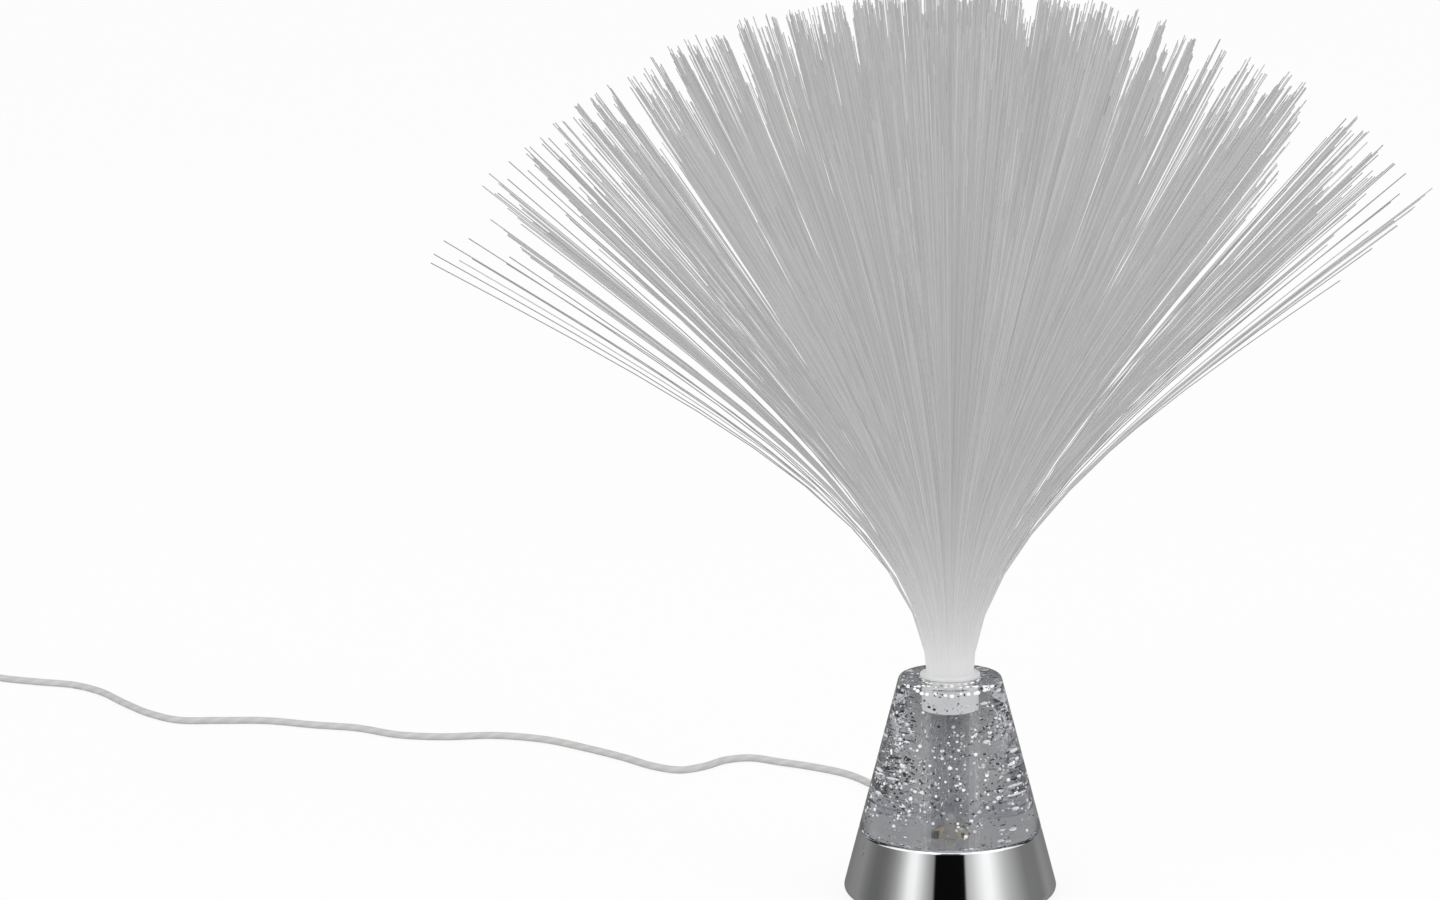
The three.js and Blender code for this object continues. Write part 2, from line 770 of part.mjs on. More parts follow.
function makeGrommet() {
  const wallOuter = sideRadius(cordHeight);
  const wallInner = innerSide(cordHeight - grommetFlange);
  const tailStart = wallOuter + grommetFlangeThickness;
  const outside = cut(
    alongY(
      latheAboutZ(
        [
          [0, clampPlace],
          [grommetFlange, clampPlace],
          [grommetFlange, tailStart],
          [grommetTailRadius, tailStart + grommetFlangeThickness],
          [grommetEndRadius, tailStart + grommetTail],
          [0, tailStart + grommetTail],
        ],
        midSides,
      ),
    ).translate(0, 0, cordHeight),
    coneFill(seatGap),
  );
  const neck = alongY(disc(grommetNeck, grommetInner, wallOuter + seatGap)).translate(0, 0, cordHeight);
  const inside = common(
    alongY(disc(grommetFlange, grommetInner, wallInner)).translate(0, 0, cordHeight),
    coneFill(-shellWall - seatGap),
  );
  const bore = alongY(
    disc(cordRadius + seatGap, grommetInner - cutOverrun, tailStart + grommetTail + cutOverrun, smallSides),
  ).translate(0, 0, cordHeight);
  return cut(join(outside, neck, inside), bore);
}

function makeCordClamp() {
  const bottom = cordHeight + cordRadius + seatGap;
  const length = 2 * (clampPostOffset + clampPostRadius);
  const bar = block(length, clampWidth, bottom, bottom + clampThickness).translate(0, clampPlace, 0);
  const holes = [-clampPostOffset, clampPostOffset].map((x) =>
    disc(pilotRadius, bottom - cutOverrun, bottom + clampThickness + cutOverrun, smallSides)
      .translate(x, clampPlace, 0),
  );
  return cut(bar, ...holes);
}

function makeInnerWire(side) {
  const start = cordInnerEnd - seatGap;
  const over = ballastTop + wireRoom / 2;
  const narrow = wireRadius + slideGap;
  const reach = carrierHoleRadius - wireRadius - seatGap;
  const stops = [
    [narrow, start, cordHeight],
    [narrow, start - wireLead, cordHeight + wireLead / 2],
    [wireSpread, ballastRadius + wireLead, over - wireLead],
    [wireSpread, ballastRadius - wireLead, over],
    [wireSpread, reach + 2 * wireLead, over],
    [wireSpread, reach / 2 + wireLead / 2, over + wireLead / 2],
    [wireSpread, reach / 2, carrierBottom],
    [wireSpread, reach / 2, boardBottom - seatGap],
  ];
  const points = stops.map(([x, y, z]) => new THREE.Vector3(side * x, y, z));
  return cordAlong(points, wireRadius, wireSides, wireRadius * 5);
}

// Inline switch. Its pieces are made round its own middle, standing on z = 0.

function switchHollow() {
  const body = roundedPlate(switchLength, switchWidth, switchCorner, switchHeight, switchBevel);
  const hollow = roundedPlate(
    switchLength - 2 * switchWall,
    switchWidth - 2 * switchWall,
    switchCorner - switchWall,
    switchHeight - 2 * switchWall,
  ).translate(0, 0, switchWall);
  const cordHoles = alongX(
    disc(cordRadius + seatGap, -switchLength / 2 - cutOverrun, switchLength / 2 + cutOverrun, smallSides),
  ).translate(0, 0, switchCordHeight);
  return cut(body, hollow, cordHoles);
}

function makeSwitchLower() {
  const top = switchSplit - seatGap / 2;
  const keep = block(switchLength + cutOverrun, switchWidth + cutOverrun, -cutOverrun, top);
  const boss = disc(switchFootRadius, switchWall / 2, top, smallSides)
    .translate(-switchScrewOffset, 0, 0);
  const hole = disc(pilotRadius, -cutOverrun, top + cutOverrun, smallSides)
    .translate(-switchScrewOffset, 0, 0);
  const head = disc(screwHeadRadius + seatGap, -cutOverrun, screwHeadHeight + seatGap, smallSides)
    .translate(-switchScrewOffset, 0, 0);
  return cut(join(common(switchHollow(), keep), boss), hole, head);
}

function makeSwitchUpper() {
  const bottom = switchSplit + seatGap / 2;
  const keep = block(switchLength + cutOverrun, switchWidth + cutOverrun, bottom, switchHeight + cutOverrun);
  const ceiling = switchHeight - switchWall;
  const boss = disc(switchBossRadius, bottom, ceiling + switchWall / 2, smallSides)
    .translate(-switchScrewOffset, 0, 0);
  const pilot = disc(pilotRadius, bottom - cutOverrun, switchScrewTop() + pilotGap, smallSides)
    .translate(-switchScrewOffset, 0, 0);
  const lugInner = rockerWidth / 2 + slideGap;
  const lugs = [-1, 1].map((side) =>
    block(lugWidth, lugThickness, pivotHeight - lugWidth / 2, ceiling + switchWall / 2)
      .translate(0, side * (lugInner + lugThickness / 2), 0),
  );
  const opening = block(
    rockerLength + 2 * rockerGap,
    2 * lugInner,
    ceiling - cutOverrun,
    switchHeight + cutOverrun,
  );
  const pinReach = lugInner + lugThickness + cutOverrun;
  const pinHole = alongY(disc(pinRadius + slideGap, -pinReach, pinReach, smallSides))
    .translate(0, 0, pivotHeight);
  return cut(join(common(switchHollow(), keep), boss, ...lugs), pilot, opening, pinHole);
}

function switchScrewTop() {
  return screwHeadHeight + seatGap + switchScrewLength;
}

// The rocker is made round its pivot, level
function makeRocker() {
  const end = rockerLength / 2;
  const outline = new THREE.Shape();
  outline.moveTo(-end, rockerRise);
  outline.lineTo(-end, -rockerSkirt);
  outline.lineTo(-rockerNubWidth / 2, -rockerNub + rockerSkirt);
  outline.lineTo(-rockerNubWidth / 4, -rockerNub);
  outline.lineTo(rockerNubWidth / 4, -rockerNub);
  outline.lineTo(rockerNubWidth / 2, -rockerNub + rockerSkirt);
  outline.lineTo(end, -rockerSkirt);
  outline.lineTo(end, rockerRise);
  outline.quadraticCurveTo(0, rockerRise - 2 * rockerDish, -end, rockerRise);
  const body = new THREE.ExtrudeGeometry(outline, {
    depth: rockerWidth,
    bevelEnabled: false,
    curveSegments: 8,
  })
    .rotateX(Math.PI / 2)
    .translate(0, rockerWidth / 2, 0);
  const reach = rockerWidth / 2 + pinLength;
  return join(body, alongY(disc(pinRadius, -reach, reach, smallSides)));
}

function makeContact(side, rise) {
  const bottom = switchWall + seatGap;
  const start = contactStart;
  const end = start + contactFoot;
  const outline = new THREE.Shape();
  outline.moveTo(start, bottom);
  outline.lineTo(end, bottom);
  outline.lineTo(end, bottom + contactThickness);
  outline.lineTo(start + contactThickness, bottom + contactThickness);
  outline.lineTo(start + contactThickness, bottom + rise);
  outline.lineTo(start, bottom + rise);
  const strip = new THREE.ExtrudeGeometry(outline, { depth: contactWidth, bevelEnabled: false })
    .rotateX(Math.PI / 2)
    .translate(0, contactWidth / 2, 0);
  return side > 0 ? strip : strip.rotateZ(Math.PI);
}

function makeBridgeWire() {
  const end = switchLength / 2 - switchGrip - seatGap;
  const low = switchWall + 2 * seatGap + bridgeRadius;
  const half = [
    [end, cordRadius / 2, switchCordHeight],
    [end - bridgeRadius, cordRadius / 2, switchCordHeight],
    [end - 4 * bridgeRadius, bridgeOffset - bridgeRadius, (low + switchCordHeight) / 2],
    [end - 8 * bridgeRadius, bridgeOffset, low],
    [end - 12 * bridgeRadius, bridgeOffset, low],
  ];
  const mirrored = half.map(([x, y, z]) => [-x, y, z]).reverse();
  const points = [...half, ...mirrored].map((stop) => new THREE.Vector3(...stop));
  return cordAlong(points, bridgeRadius, wireSides, bridgeRadius * 6);
}

// The coil spirals in on the table, climbs a layer at its inmost turn and spirals out again.
// It is made round its own middle. It is entered at +Y, heading -X, and left at -Y, heading +X.

const coilFloor = tieThickness + seatGap + cordRadius;
const coilCentre = [
  switchPlace[0] - switchLength / 2 - coilRunOut - coilOuter,
  switchPlace[1] - coilOuter,
];

function coilPoints() {
  const steps = Math.round(coilTurns * coilStepsPerTurn);
  const half = coilTurns / 2;
  const points = [];
  for (let i = 0; i <= steps; i += 1) {
    const turn = (coilTurns * i) / steps;
    const angle = Math.PI / 2 + 2 * Math.PI * turn;
    const radius = coilOuter - coilPitch * (half - Math.abs(turn - half));
    const climb = THREE.MathUtils.smoothstep(turn, half - 0.25, half + 0.25);
    points.push(
      new THREE.Vector3(radius * Math.cos(angle), radius * Math.sin(angle), coilFloor + coilPitch * climb),
    );
  }
  const leadIn = points[0].clone().setX(2 * cordRadius);
  const leadOut = points[points.length - 1].clone().setX(2 * cordRadius);
  return [leadIn, ...points, leadOut];
}

// The least gap between stretches of the coil that are more than half a turn apart
function leastCoilGap() {
  const points = coilPoints();
  const apart = coilStepsPerTurn / 2;
  let least = Infinity;
  for (let i = 0; i < points.length - 1; i += 1) {
    for (let j = i + apart; j < points.length - 1; j += 1) {
      for (let k = 0; k <= 4; k += 1) {
        const near = points[i].clone().lerp(points[i + 1], k / 4);
        const edge = new THREE.Line3(points[j], points[j + 1]);
        const there = edge.closestPointToPoint(near, true, new THREE.Vector3());
        least = Math.min(least, there.distanceTo(near) - 2 * cordRadius);
      }
    }
  }
  return least;
}

function makeCoil() {
  return tubeThrough(coilPoints(), cordRadius, coilSides, new THREE.Vector3(0, 0, 1));
}

function makeCoilTie() {
  const inner = coilOuter - (coilPitch * coilTurns) / 2 - cordRadius - seatGap - coilPitch / 2;
  const outer = coilOuter + cordRadius + seatGap;
  const top = coilFloor + coilPitch + cordRadius + seatGap;
  const band = block(outer - inner + 2 * tieThickness, tieWidth, 0, top + tieThickness);
  const inside = block(outer - inner, tieWidth + cutOverrun, tieThickness, top);
  return cut(band, inside).translate(-(inner + outer) / 2, 0, 0);
}

// Cord stretches. The table's stretch is laid in the loose waves that the cord has.

const grommetEnd = sideRadius(cordHeight) + grommetFlangeThickness + grommetTail;
const switchCordY = switchPlace[1];
// Each point's place on the table, and how far the cord is lifted off it
const cordRoute = [
  [0, 61, 7.5],
  [-1, 71, 5.8],
  [-4, 84, 2.6],
  [-7, 97, 0.6],
  [-11, 112, 0.15],
  [-17, 132, 0.1],
  [-25, 151, 0.1],
  [-35, 168, 0.1],
  [-49, 180, 0.1],
  [-62, 188, 0.1],
  [-74, 195, 0.1],
  [-84, 192, 0.1],
  [-93, 182, 0.1],
  [-103, 176.5, 0.1],
  [-114, 183, 0.1],
  [-126, 197, 0.1],
  [-141, 212, 0.1],
  [-160, 228, 0.1],
  [-181, 235.5, 0.1],
  [-203, 234, 0.1],
  [-222, 238, 0.1],
  [-240, 250, 0.1],
  [-259, 256, 0.1],
  [-280, 264, 0.1],
  [-300, 265, 0.1],
  [-317, 266, 0.1],
  [-331, 278, 0.1],
  [-344, 297, 0.1],
  [-357, 318, 0.1],
  [-370, 330, 0.1],
  [-386, 336, 0.1],
  [-402, 343, 0.1],
  [-414, 348.5, 1.1],
].map(([x, y, lift]) => new THREE.Vector3(x, y, cordRadius + lift));

function makeCordLead() {
  const switchEnd = switchPlace[0] + switchLength / 2;
  return cordAlong([
    new THREE.Vector3(0, cordInnerEnd, cordHeight),
    new THREE.Vector3(0, sideRadius(cordHeight), cordHeight),
    new THREE.Vector3(0, grommetEnd, cordHeight),
    ...cordRoute,
    new THREE.Vector3(switchEnd + 2 * cordRadius, switchCordY, switchCordHeight),
    new THREE.Vector3(switchEnd - switchGrip, switchCordY, switchCordHeight),
  ]);
}

function makeCordLink() {
  const start = switchPlace[0] - switchLength / 2;
  const end = coilCentre[0] + 2 * cordRadius + seatGap;
  return cordAlong(
    [
      new THREE.Vector3(start + switchGrip, switchCordY, switchCordHeight),
      new THREE.Vector3(start - cordRadius, switchCordY, switchCordHeight),
      new THREE.Vector3(end + 2 * cordRadius, switchCordY, coilFloor),
      new THREE.Vector3(end, switchCordY, coilFloor),
    ],
    cordRadius,
    cordSides,
    cordRadius * 2,
  );
}

const plugHeight = plugBodyHeight / 2;
const plugPlace = [coilCentre[0] + 2 * cordRadius + plugRunOut, coilCentre[1] - coilOuter];

function makeCordTail() {
  const start = coilCentre[0] + 2 * cordRadius + seatGap;
  const end = plugPlace[0] - seatGap;
  const top = coilFloor + coilPitch;
  return cordAlong(
    [
      new THREE.Vector3(start, plugPlace[1], top),
      new THREE.Vector3(start + 2 * cordRadius, plugPlace[1], top),
      new THREE.Vector3(end - 2 * cordRadius, plugPlace[1], plugHeight),
      new THREE.Vector3(end, plugPlace[1], plugHeight),
    ],
    cordRadius,
    cordSides,
    cordRadius * 3,
  );
}

// Plug. Its pieces are made along X from the relief's end, round the cord's axis.

function makePlugBody() {
  const start = plugReliefLength;
  const body = roundedPlate(plugBodyLength, plugBodyWidth, plugCorner, plugBodyHeight, plugBevel)
    .translate(start + plugBodyLength / 2, 0, -plugHeight);
  const relief = alongX(
    latheAboutZ(
      [[0, 0], [plugReliefEnd, 0], [plugReliefRadius, start], [plugReliefRadius, start + plugCorner],
        [0, start + plugCorner]],
      smallSides * 2,
    ),
  );
  const pocket = new THREE.BoxGeometry(
    plugShellSeat + seatGap + cutOverrun,
    plugShellWidth + 2 * seatGap,
    plugShellHeight + 2 * seatGap,
  ).translate(start + plugBodyLength - (plugShellSeat + seatGap - cutOverrun) / 2, 0, 0);
  return cut(join(body, relief), pocket);
}

const plugShellStart = plugReliefLength + plugBodyLength - plugShellSeat;
const plugShellTotal = plugShellSeat + plugShellLength;

function makePlugShell() {
  const outside = new THREE.BoxGeometry(plugShellTotal, plugShellWidth, plugShellHeight);
  const inside = new THREE.BoxGeometry(
    plugShellTotal + cutOverrun,
    plugShellWidth - 2 * plugShellWall,
    plugShellHeight - 2 * plugShellWall,
  );
  const windows = [-plugWindowOffset, plugWindowOffset].map((y) =>
    new THREE.BoxGeometry(plugWindow, plugWindow, plugShellHeight + cutOverrun)
      .translate(plugShellTotal / 2 - plugShellLength / 2, y, 0),
  );
  return cut(outside, inside, ...windows).translate(plugShellStart + plugShellTotal / 2, 0, 0);
}

function makePlugTongue() {
  const width = plugShellWidth - 2 * plugShellWall - 2 * seatGap;
  const height = plugShellHeight - 2 * plugShellWall - 2 * seatGap;
  const rootLength = plugShellSeat - seatGap;
  const length = plugShellTotal - tongueRecess;
  const root = new THREE.BoxGeometry(rootLength, width, height)
    .translate(plugShellStart + rootLength / 2, 0, 0);
  const tongue = new THREE.BoxGeometry(length, width, tongueThickness)
    .translate(plugShellStart + length / 2, 0, (height - tongueThickness) / 2);
  return join(root, tongue);
}

// The lamp

const lamp = new THREE.Group();

function addPiece(name, geometry, look, parent = lamp) {
  const piece = new THREE.Mesh(geometry, new THREE.MeshStandardMaterial(look));
  piece.name = name;
  parent.add(piece);
  return piece;
}

function addGroup(x, y, z) {
  const group = new THREE.Group();
  group.position.set(x, y, z);
  lamp.add(group);
  return group;
}

addPiece('chrome_shell', makeChromeShell(), looks.chrome);
addPiece('acrylic_cone', makeAcrylicCone(), looks.acrylic);
addPiece('fibre_ferrule', makeFerrule(), looks.whitePlastic);
quarterNames.forEach((name, quarter) => {
  addPiece(`fibre_spray_${name}`, makeFibreQuarter(quarter), looks.fibre);
});

addPiece('led_board', makeLedBoard(), looks.board);
addPiece('led', makeLed(), looks.led);
addPiece('led_driver_chip', makeBoardPart(chipSize, -windowRadius * chipPlaceShare), looks.chip);
addPiece('led_resistor', makeBoardPart(resistorSize, windowRadius * resistorPlaceShare), looks.chip);
addPiece('board_carrier', makeBoardCarrier(), looks.whitePlastic);
['left', 'right'].forEach((name, i) => {
  const side = 2 * i - 1;
  const screw = addPiece(`carrier_screw_${name}`, makeScrew(carrierScrewLength), looks.steel);
  screw.position.set(side * carrierBossOffset, 0, carrierBottom - seatGap);
  const clampScrew = addPiece(`clamp_screw_${name}`, makeScrew(clampScrewLength), looks.steel);
  const clampTop = cordHeight + cordRadius + seatGap + clampThickness;
  clampScrew.position.set(side * clampPostOffset, clampPlace, clampTop + seatGap);
  clampScrew.rotation.x = Math.PI;
});

addPiece('bottom_cover', makeBottomCover(), looks.blackPlastic);
coverScrewPlaces().forEach(({ x, y }, i) => {
  const screw = addPiece(`cover_screw_${i + 1}`, makeScrew(coverScrewLength), looks.steel);
  screw.position.set(x, y, coverScrewSeat);
});
addPiece('base_pad', disc(padRadius, 0, padThickness), looks.foam);
addPiece('ballast_ring', makeBallastRing(), looks.steel);

addPiece('cord_grommet', makeGrommet(), looks.rubber);
addPiece('cord_clamp', makeCordClamp(), looks.whitePlastic);
addPiece('wire_positive', makeInnerWire(1), looks.redWire);
addPiece('wire_negative', makeInnerWire(-1), looks.blackPlastic);
addPiece('cord_lead', makeCordLead(), looks.cord);

const switchGroup = addGroup(...switchPlace, 0);
addPiece('switch_lower_shell', makeSwitchLower(), looks.whitePlastic, switchGroup);
addPiece('switch_upper_shell', makeSwitchUpper(), looks.whitePlastic, switchGroup);
addPiece('switch_contact_fixed', makeContact(1, contactRise), looks.brass, switchGroup);
addPiece('switch_contact_spring', makeContact(-1, contactRise), looks.brass, switchGroup);
addPiece('switch_bridge_wire', makeBridgeWire(), looks.redWire, switchGroup);
const rocker = addPiece('switch_rocker', makeRocker(), looks.whitePlastic, switchGroup);
rocker.position.z = pivotHeight;
rocker.rotation.y = rockerTilt;
const switchScrew = addPiece('switch_screw', makeScrew(switchScrewLength), looks.steel, switchGroup);
switchScrew.position.set(-switchScrewOffset, 0, screwHeadHeight);

addPiece('cord_link', makeCordLink(), looks.cord);
const coilGroup = addGroup(...coilCentre, 0);
addPiece('cord_coil', makeCoil(), looks.cord, coilGroup);
addPiece('coil_tie', makeCoilTie(), looks.blackPlastic, coilGroup);
console.log('cord_coil least gap to itself, mm:', leastCoilGap().toFixed(2));

addPiece('cord_tail', makeCordTail(), looks.cord);
const plugGroup = addGroup(...plugPlace, plugHeight);
addPiece('plug_body', makePlugBody(), looks.whitePlastic, plugGroup);
addPiece('plug_shell', makePlugShell(), looks.steel, plugGroup);
addPiece('plug_tongue', makePlugTongue(), looks.whitePlastic, plugGroup);

export default lamp;
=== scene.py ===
import json
import math

import bmesh
import bpy
import numpy as np
from mathutils import Matrix, Vector


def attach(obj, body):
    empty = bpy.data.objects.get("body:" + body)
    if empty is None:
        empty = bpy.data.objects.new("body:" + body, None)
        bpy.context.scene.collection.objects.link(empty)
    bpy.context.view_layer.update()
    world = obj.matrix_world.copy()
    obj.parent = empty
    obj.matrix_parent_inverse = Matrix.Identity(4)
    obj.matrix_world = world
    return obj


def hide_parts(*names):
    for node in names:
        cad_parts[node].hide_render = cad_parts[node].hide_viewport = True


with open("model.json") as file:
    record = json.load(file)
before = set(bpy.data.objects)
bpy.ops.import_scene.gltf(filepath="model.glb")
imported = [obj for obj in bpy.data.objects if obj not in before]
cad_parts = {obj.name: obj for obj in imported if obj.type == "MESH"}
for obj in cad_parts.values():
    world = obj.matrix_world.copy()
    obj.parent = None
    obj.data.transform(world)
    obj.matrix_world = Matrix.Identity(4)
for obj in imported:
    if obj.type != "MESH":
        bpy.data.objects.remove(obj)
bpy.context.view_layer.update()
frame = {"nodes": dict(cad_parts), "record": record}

MM = 0.001
SCENE = bpy.context.scene

# Sizes that the pieces below share with the lamp's source
BASE_RADIUS = 40.0
TOP_RADIUS = 19.1
TOP_HEIGHT = 84.6
SEAM_HEIGHT = 25.6
SEAT_GAP = 0.3
ROUND_HEIGHT = 3.6
SLOPE = math.atan((BASE_RADIUS - TOP_RADIUS) / (TOP_HEIGHT - ROUND_HEIGHT))
FLANGE_RADIUS = 11.3
FLANGE_BOTTOM = 83.7
MOUTH_HEIGHT = 85.5
SLEEVE_RADIUS = 7.2
SLEEVE_BOTTOM = 70.7
MOUTH_RADIUS = 8.6  # of the fibre bundle in the ferrule's mouth
CORD_RADIUS = 1.5


def side_radius(height):
    return BASE_RADIUS - (height - ROUND_HEIGHT) * math.tan(SLOPE)


# Camera

CAMERA_PLACE = (-0.0854, -1.9315, 0.5642)
CAMERA_LENS = 132.8
CAMERA_TILT = 78.5
CAMERA_ROLL = -0.5  # keeps the lamp upright away from the middle of the picture


def make_camera():
    data = bpy.data.cameras.new("camera")
    data.sensor_width = 36
    data.lens = CAMERA_LENS
    camera = bpy.data.objects.new("camera", data)
    camera.location = CAMERA_PLACE
    tilt = Matrix.Rotation(math.radians(CAMERA_TILT), 3, "X")
    roll = Matrix.Rotation(math.radians(CAMERA_ROLL), 3, "Z")
    camera.rotation_euler = (tilt @ roll).to_euler()
    SCENE.collection.objects.link(camera)
    SCENE.camera = camera


make_camera()


# Meshes

CORNER_STEPS = 5


def mesh_object(name, points, faces, material, smooth_angle=30.0):
    """A mesh in millimetres, given as an array of points and a list of faces."""
    mesh = bpy.data.meshes.new(name)
    mesh.from_pydata((np.asarray(points, float) * MM).tolist(), [], faces)
    mesh.validate()
    mesh.update()
    if smooth_angle:
        mesh.shade_smooth()
        mesh.set_sharp_from_angle(angle=math.radians(smooth_angle))
    mesh.materials.append(material)
    obj = bpy.data.objects.new(name, mesh)
    SCENE.collection.objects.link(obj)
    return obj


def set_map(obj, places):
    """Gives every corner of every face its place in the map that the materials read."""
    layer = obj.data.uv_layers.new(name="OFBake")
    layer.data.foreach_set("uv", np.asarray(places, np.float32).ravel())


def lathe(name, profile, material, segments):
    """A profile of (radius, height) pairs turned about Z. It closes on itself, or starts and ends on the axis."""
    angles = np.linspace(0, 2 * np.pi, segments, endpoint=False)
    points, rows = [], []
    for radius, height in profile:
        if radius < 1e-6:
            rows.append([len(points)] * segments)
            points.append((0.0, 0.0, height))
        else:
            rows.append(list(range(len(points), len(points) + segments)))
            points.extend((radius * math.cos(a), radius * math.sin(a), height) for a in angles)
    faces = []
    for low, high in zip(rows, rows[1:] + rows[:1]):
        for i in range(segments):
            j = (i + 1) % segments
            corners = list(dict.fromkeys([low[i], low[j], high[j], high[i]]))
            if len(corners) > 2:
                faces.append(corners)
    return mesh_object(name, points, faces, material)


def lay_down(obj, axis, place):
    """Turns a lathed piece's axis from Z to X or Y and moves the piece to its place."""
    angle, about = {"X": (90, "Y"), "Y": (-90, "X")}[axis]
    obj.data.transform(Matrix.Rotation(math.radians(angle), 4, about))
    obj.data.transform(Matrix.Translation(Vector(place) * MM))


def arc(centre, radius, start, end, steps):
    """Points of an arc in a lathe profile. Angles are in degrees, 0 outward and 90 up."""
    angles = [math.radians(start + (end - start) * i / steps) for i in range(steps + 1)]
    return [(centre[0] + radius * math.cos(a), centre[1] + radius * math.sin(a)) for a in angles]


def smooth_path(points, step):
    """A centripetal Catmull-Rom curve through the points, sampled about every step millimetres."""
    stops = np.asarray(points, float)
    ends = (2 * stops[0] - stops[1], 2 * stops[-1] - stops[-2])
    stops = np.vstack([ends[0], stops, ends[1]])
    result = []
    for p0, p1, p2, p3 in zip(stops, stops[1:], stops[2:], stops[3:]):
        t1 = math.sqrt(np.linalg.norm(p1 - p0))
        t2 = t1 + math.sqrt(np.linalg.norm(p2 - p1))
        t3 = t2 + math.sqrt(np.linalg.norm(p3 - p2))
        count = max(1, round(np.linalg.norm(p2 - p1) / step))
        for t in t1 + (t2 - t1) * np.arange(count) / count:
            a1 = p0 + (p1 - p0) * t / t1
            a2 = p1 + (p2 - p1) * (t - t1) / (t2 - t1)
            a3 = p2 + (p3 - p2) * (t - t2) / (t3 - t2)
            b1 = a1 + (a2 - a1) * t / t2
            b2 = a2 + (a3 - a2) * (t - t1) / (t3 - t1)
            result.append(b1 + (b2 - b1) * (t - t1) / (t2 - t1))
    result.append(stops[-2])
    return np.array(result)


def evenly(path, step):
    """The same path with its points about step apart."""
    lengths = np.r_[0, np.cumsum(np.linalg.norm(np.diff(path, axis=0), axis=1))]
    at = np.linspace(0, lengths[-1], max(2, round(lengths[-1] / step) + 1))
    return np.stack([np.interp(at, lengths, path[:, k]) for k in range(3)], axis=1)


def tube(name, path, radius, sides, material):
    """A round tube along a path. Its map's u runs once round it, and v repeats every four points."""
    tangents = np.gradient(path, axis=0)
    tangents /= np.linalg.norm(tangents, axis=1)[:, None]
    normal = np.cross(tangents[0], (0, 0, 1))
    normal /= np.linalg.norm(normal)
    points = []
    for point, tangent in zip(path, tangents):
        normal = normal - tangent * (normal @ tangent)
        normal /= np.linalg.norm(normal)
        other = np.cross(tangent, normal)
        for k in range(sides):
            angle = 2 * math.pi * k / sides
            points.append(point + radius * (math.cos(angle) * normal + math.sin(angle) * other))
    faces, places = [], []
    for i in range(len(path) - 1):
        v = (i % 4) / 4
        for k in range(sides):
            n = (k + 1) % sides
            faces.append([i * sides + k, i * sides + n, (i + 1) * sides + n, (i + 1) * sides + k])
            u, next_u = k / sides, (k + 1) / sides
            places += [(u, v), (next_u, v), (next_u, v + 0.25), (u, v + 0.25)]
    end = len(points) - sides
    faces += [list(range(sides))[::-1], list(range(end, end + sides))]
    places += [(0.5, 0.5)] * (2 * sides)
    obj = mesh_object(name, points, faces, material, smooth_angle=50)
    set_map(obj, places)
    return obj


def merged(*parts):
    """Several (points, faces) pairs as one."""
    points, faces, start = [], [], 0
    for part_points, part_faces in parts:
        points.append(np.asarray(part_points, float))
        faces.extend([[corner + start for corner in face] for face in part_faces])
        start += len(part_points)
    return np.concatenate(points), faces


def moved(part, place):
    return part[0] + np.array(place), part[1]


def level(length, width, corner, height):
    """A rounded rectangle as a ring of points, of the same number for any size."""
    corner = min(corner, length / 2 - 0.01, width / 2 - 0.01)
    ring = []
    for k, (side_x, side_y) in enumerate(((1, 1), (-1, 1), (-1, -1), (1, -1))):
        x, y = side_x * (length / 2 - corner), side_y * (width / 2 - corner)
        for i in range(CORNER_STEPS + 1):
            angle = math.pi / 2 * (k + i / CORNER_STEPS)
            ring.append((x + corner * math.cos(angle), y + corner * math.sin(angle), height))
    return np.array(ring)


def loft(rings, closed=False):
    """Rings of points joined in order. A closed loft joins its last ring to its first; an open one is capped."""
    count, total = len(rings[0]), len(rings)
    faces = []
    for r in range(total if closed else total - 1):
        a, b = r * count, (r + 1) % total * count
        for i in range(count):
            j = (i + 1) % count
            faces.append([a + i, a + j, b + j, b + i])
    if not closed:
        faces.append(list(range(count))[::-1])
        faces.append([(total - 1) * count + i for i in range(count)])
    return np.concatenate(rings), faces


def rounding(radius, angles=(0, 22, 45, 68, 90)):
    """Steps of a rounded edge: how far in from the side each lies, and how far from the end."""
    return [(radius * (1 - math.sin(a)), radius * (1 - math.cos(a))) for a in np.radians(angles)]


def plate(length, width, corner, low, high, bevel):
    """A rounded plate with rounded edges."""
    edge = rounding(bevel)
    steps = [(inset, low + rise) for inset, rise in edge]
    steps += [(inset, high - rise) for inset, rise in reversed(edge)]
    return loft([level(length - 2 * i, width - 2 * i, max(0.05, corner - i), height) for i, height in steps])


# Materials


def grey(value):
    return value, value, value, 1.0


def make_material(name, **sockets):
    """A Principled material with the given socket values. Returns the material and its shader node."""
    material = bpy.data.materials.new(name)
    material.use_nodes = True
    shader = material.node_tree.nodes["Principled BSDF"]
    for socket, value in sockets.items():
        title = socket.replace("_", " ")
        next(s for s in shader.inputs if s.name.lower() == title).default_value = value
    return material, shader


def wire(owner, out_socket, in_socket):
    owner.node_tree.links.new(out_socket, in_socket)


def add_node(owner, kind, inputs=None, **settings):
    """A node of a material or world. Each input is a value, or the output that feeds it."""
    node = owner.node_tree.nodes.new(kind)
    for key, value in settings.items():
        setattr(node, key, value)
    for key, value in (inputs or {}).items():
        if isinstance(value, bpy.types.NodeSocket):
            wire(owner, value, node.inputs[key])
        else:
            node.inputs[key].default_value = value
    return node


def calculate(owner, operation, *values):
    return add_node(owner, "ShaderNodeMath", dict(enumerate(values)), operation=operation).outputs[0]


def blend(owner, share, first, second):
    """A mix of two colours."""
    return add_node(owner, "ShaderNodeMix", {0: share, 6: first, 7: second}, data_type="RGBA").outputs[2]


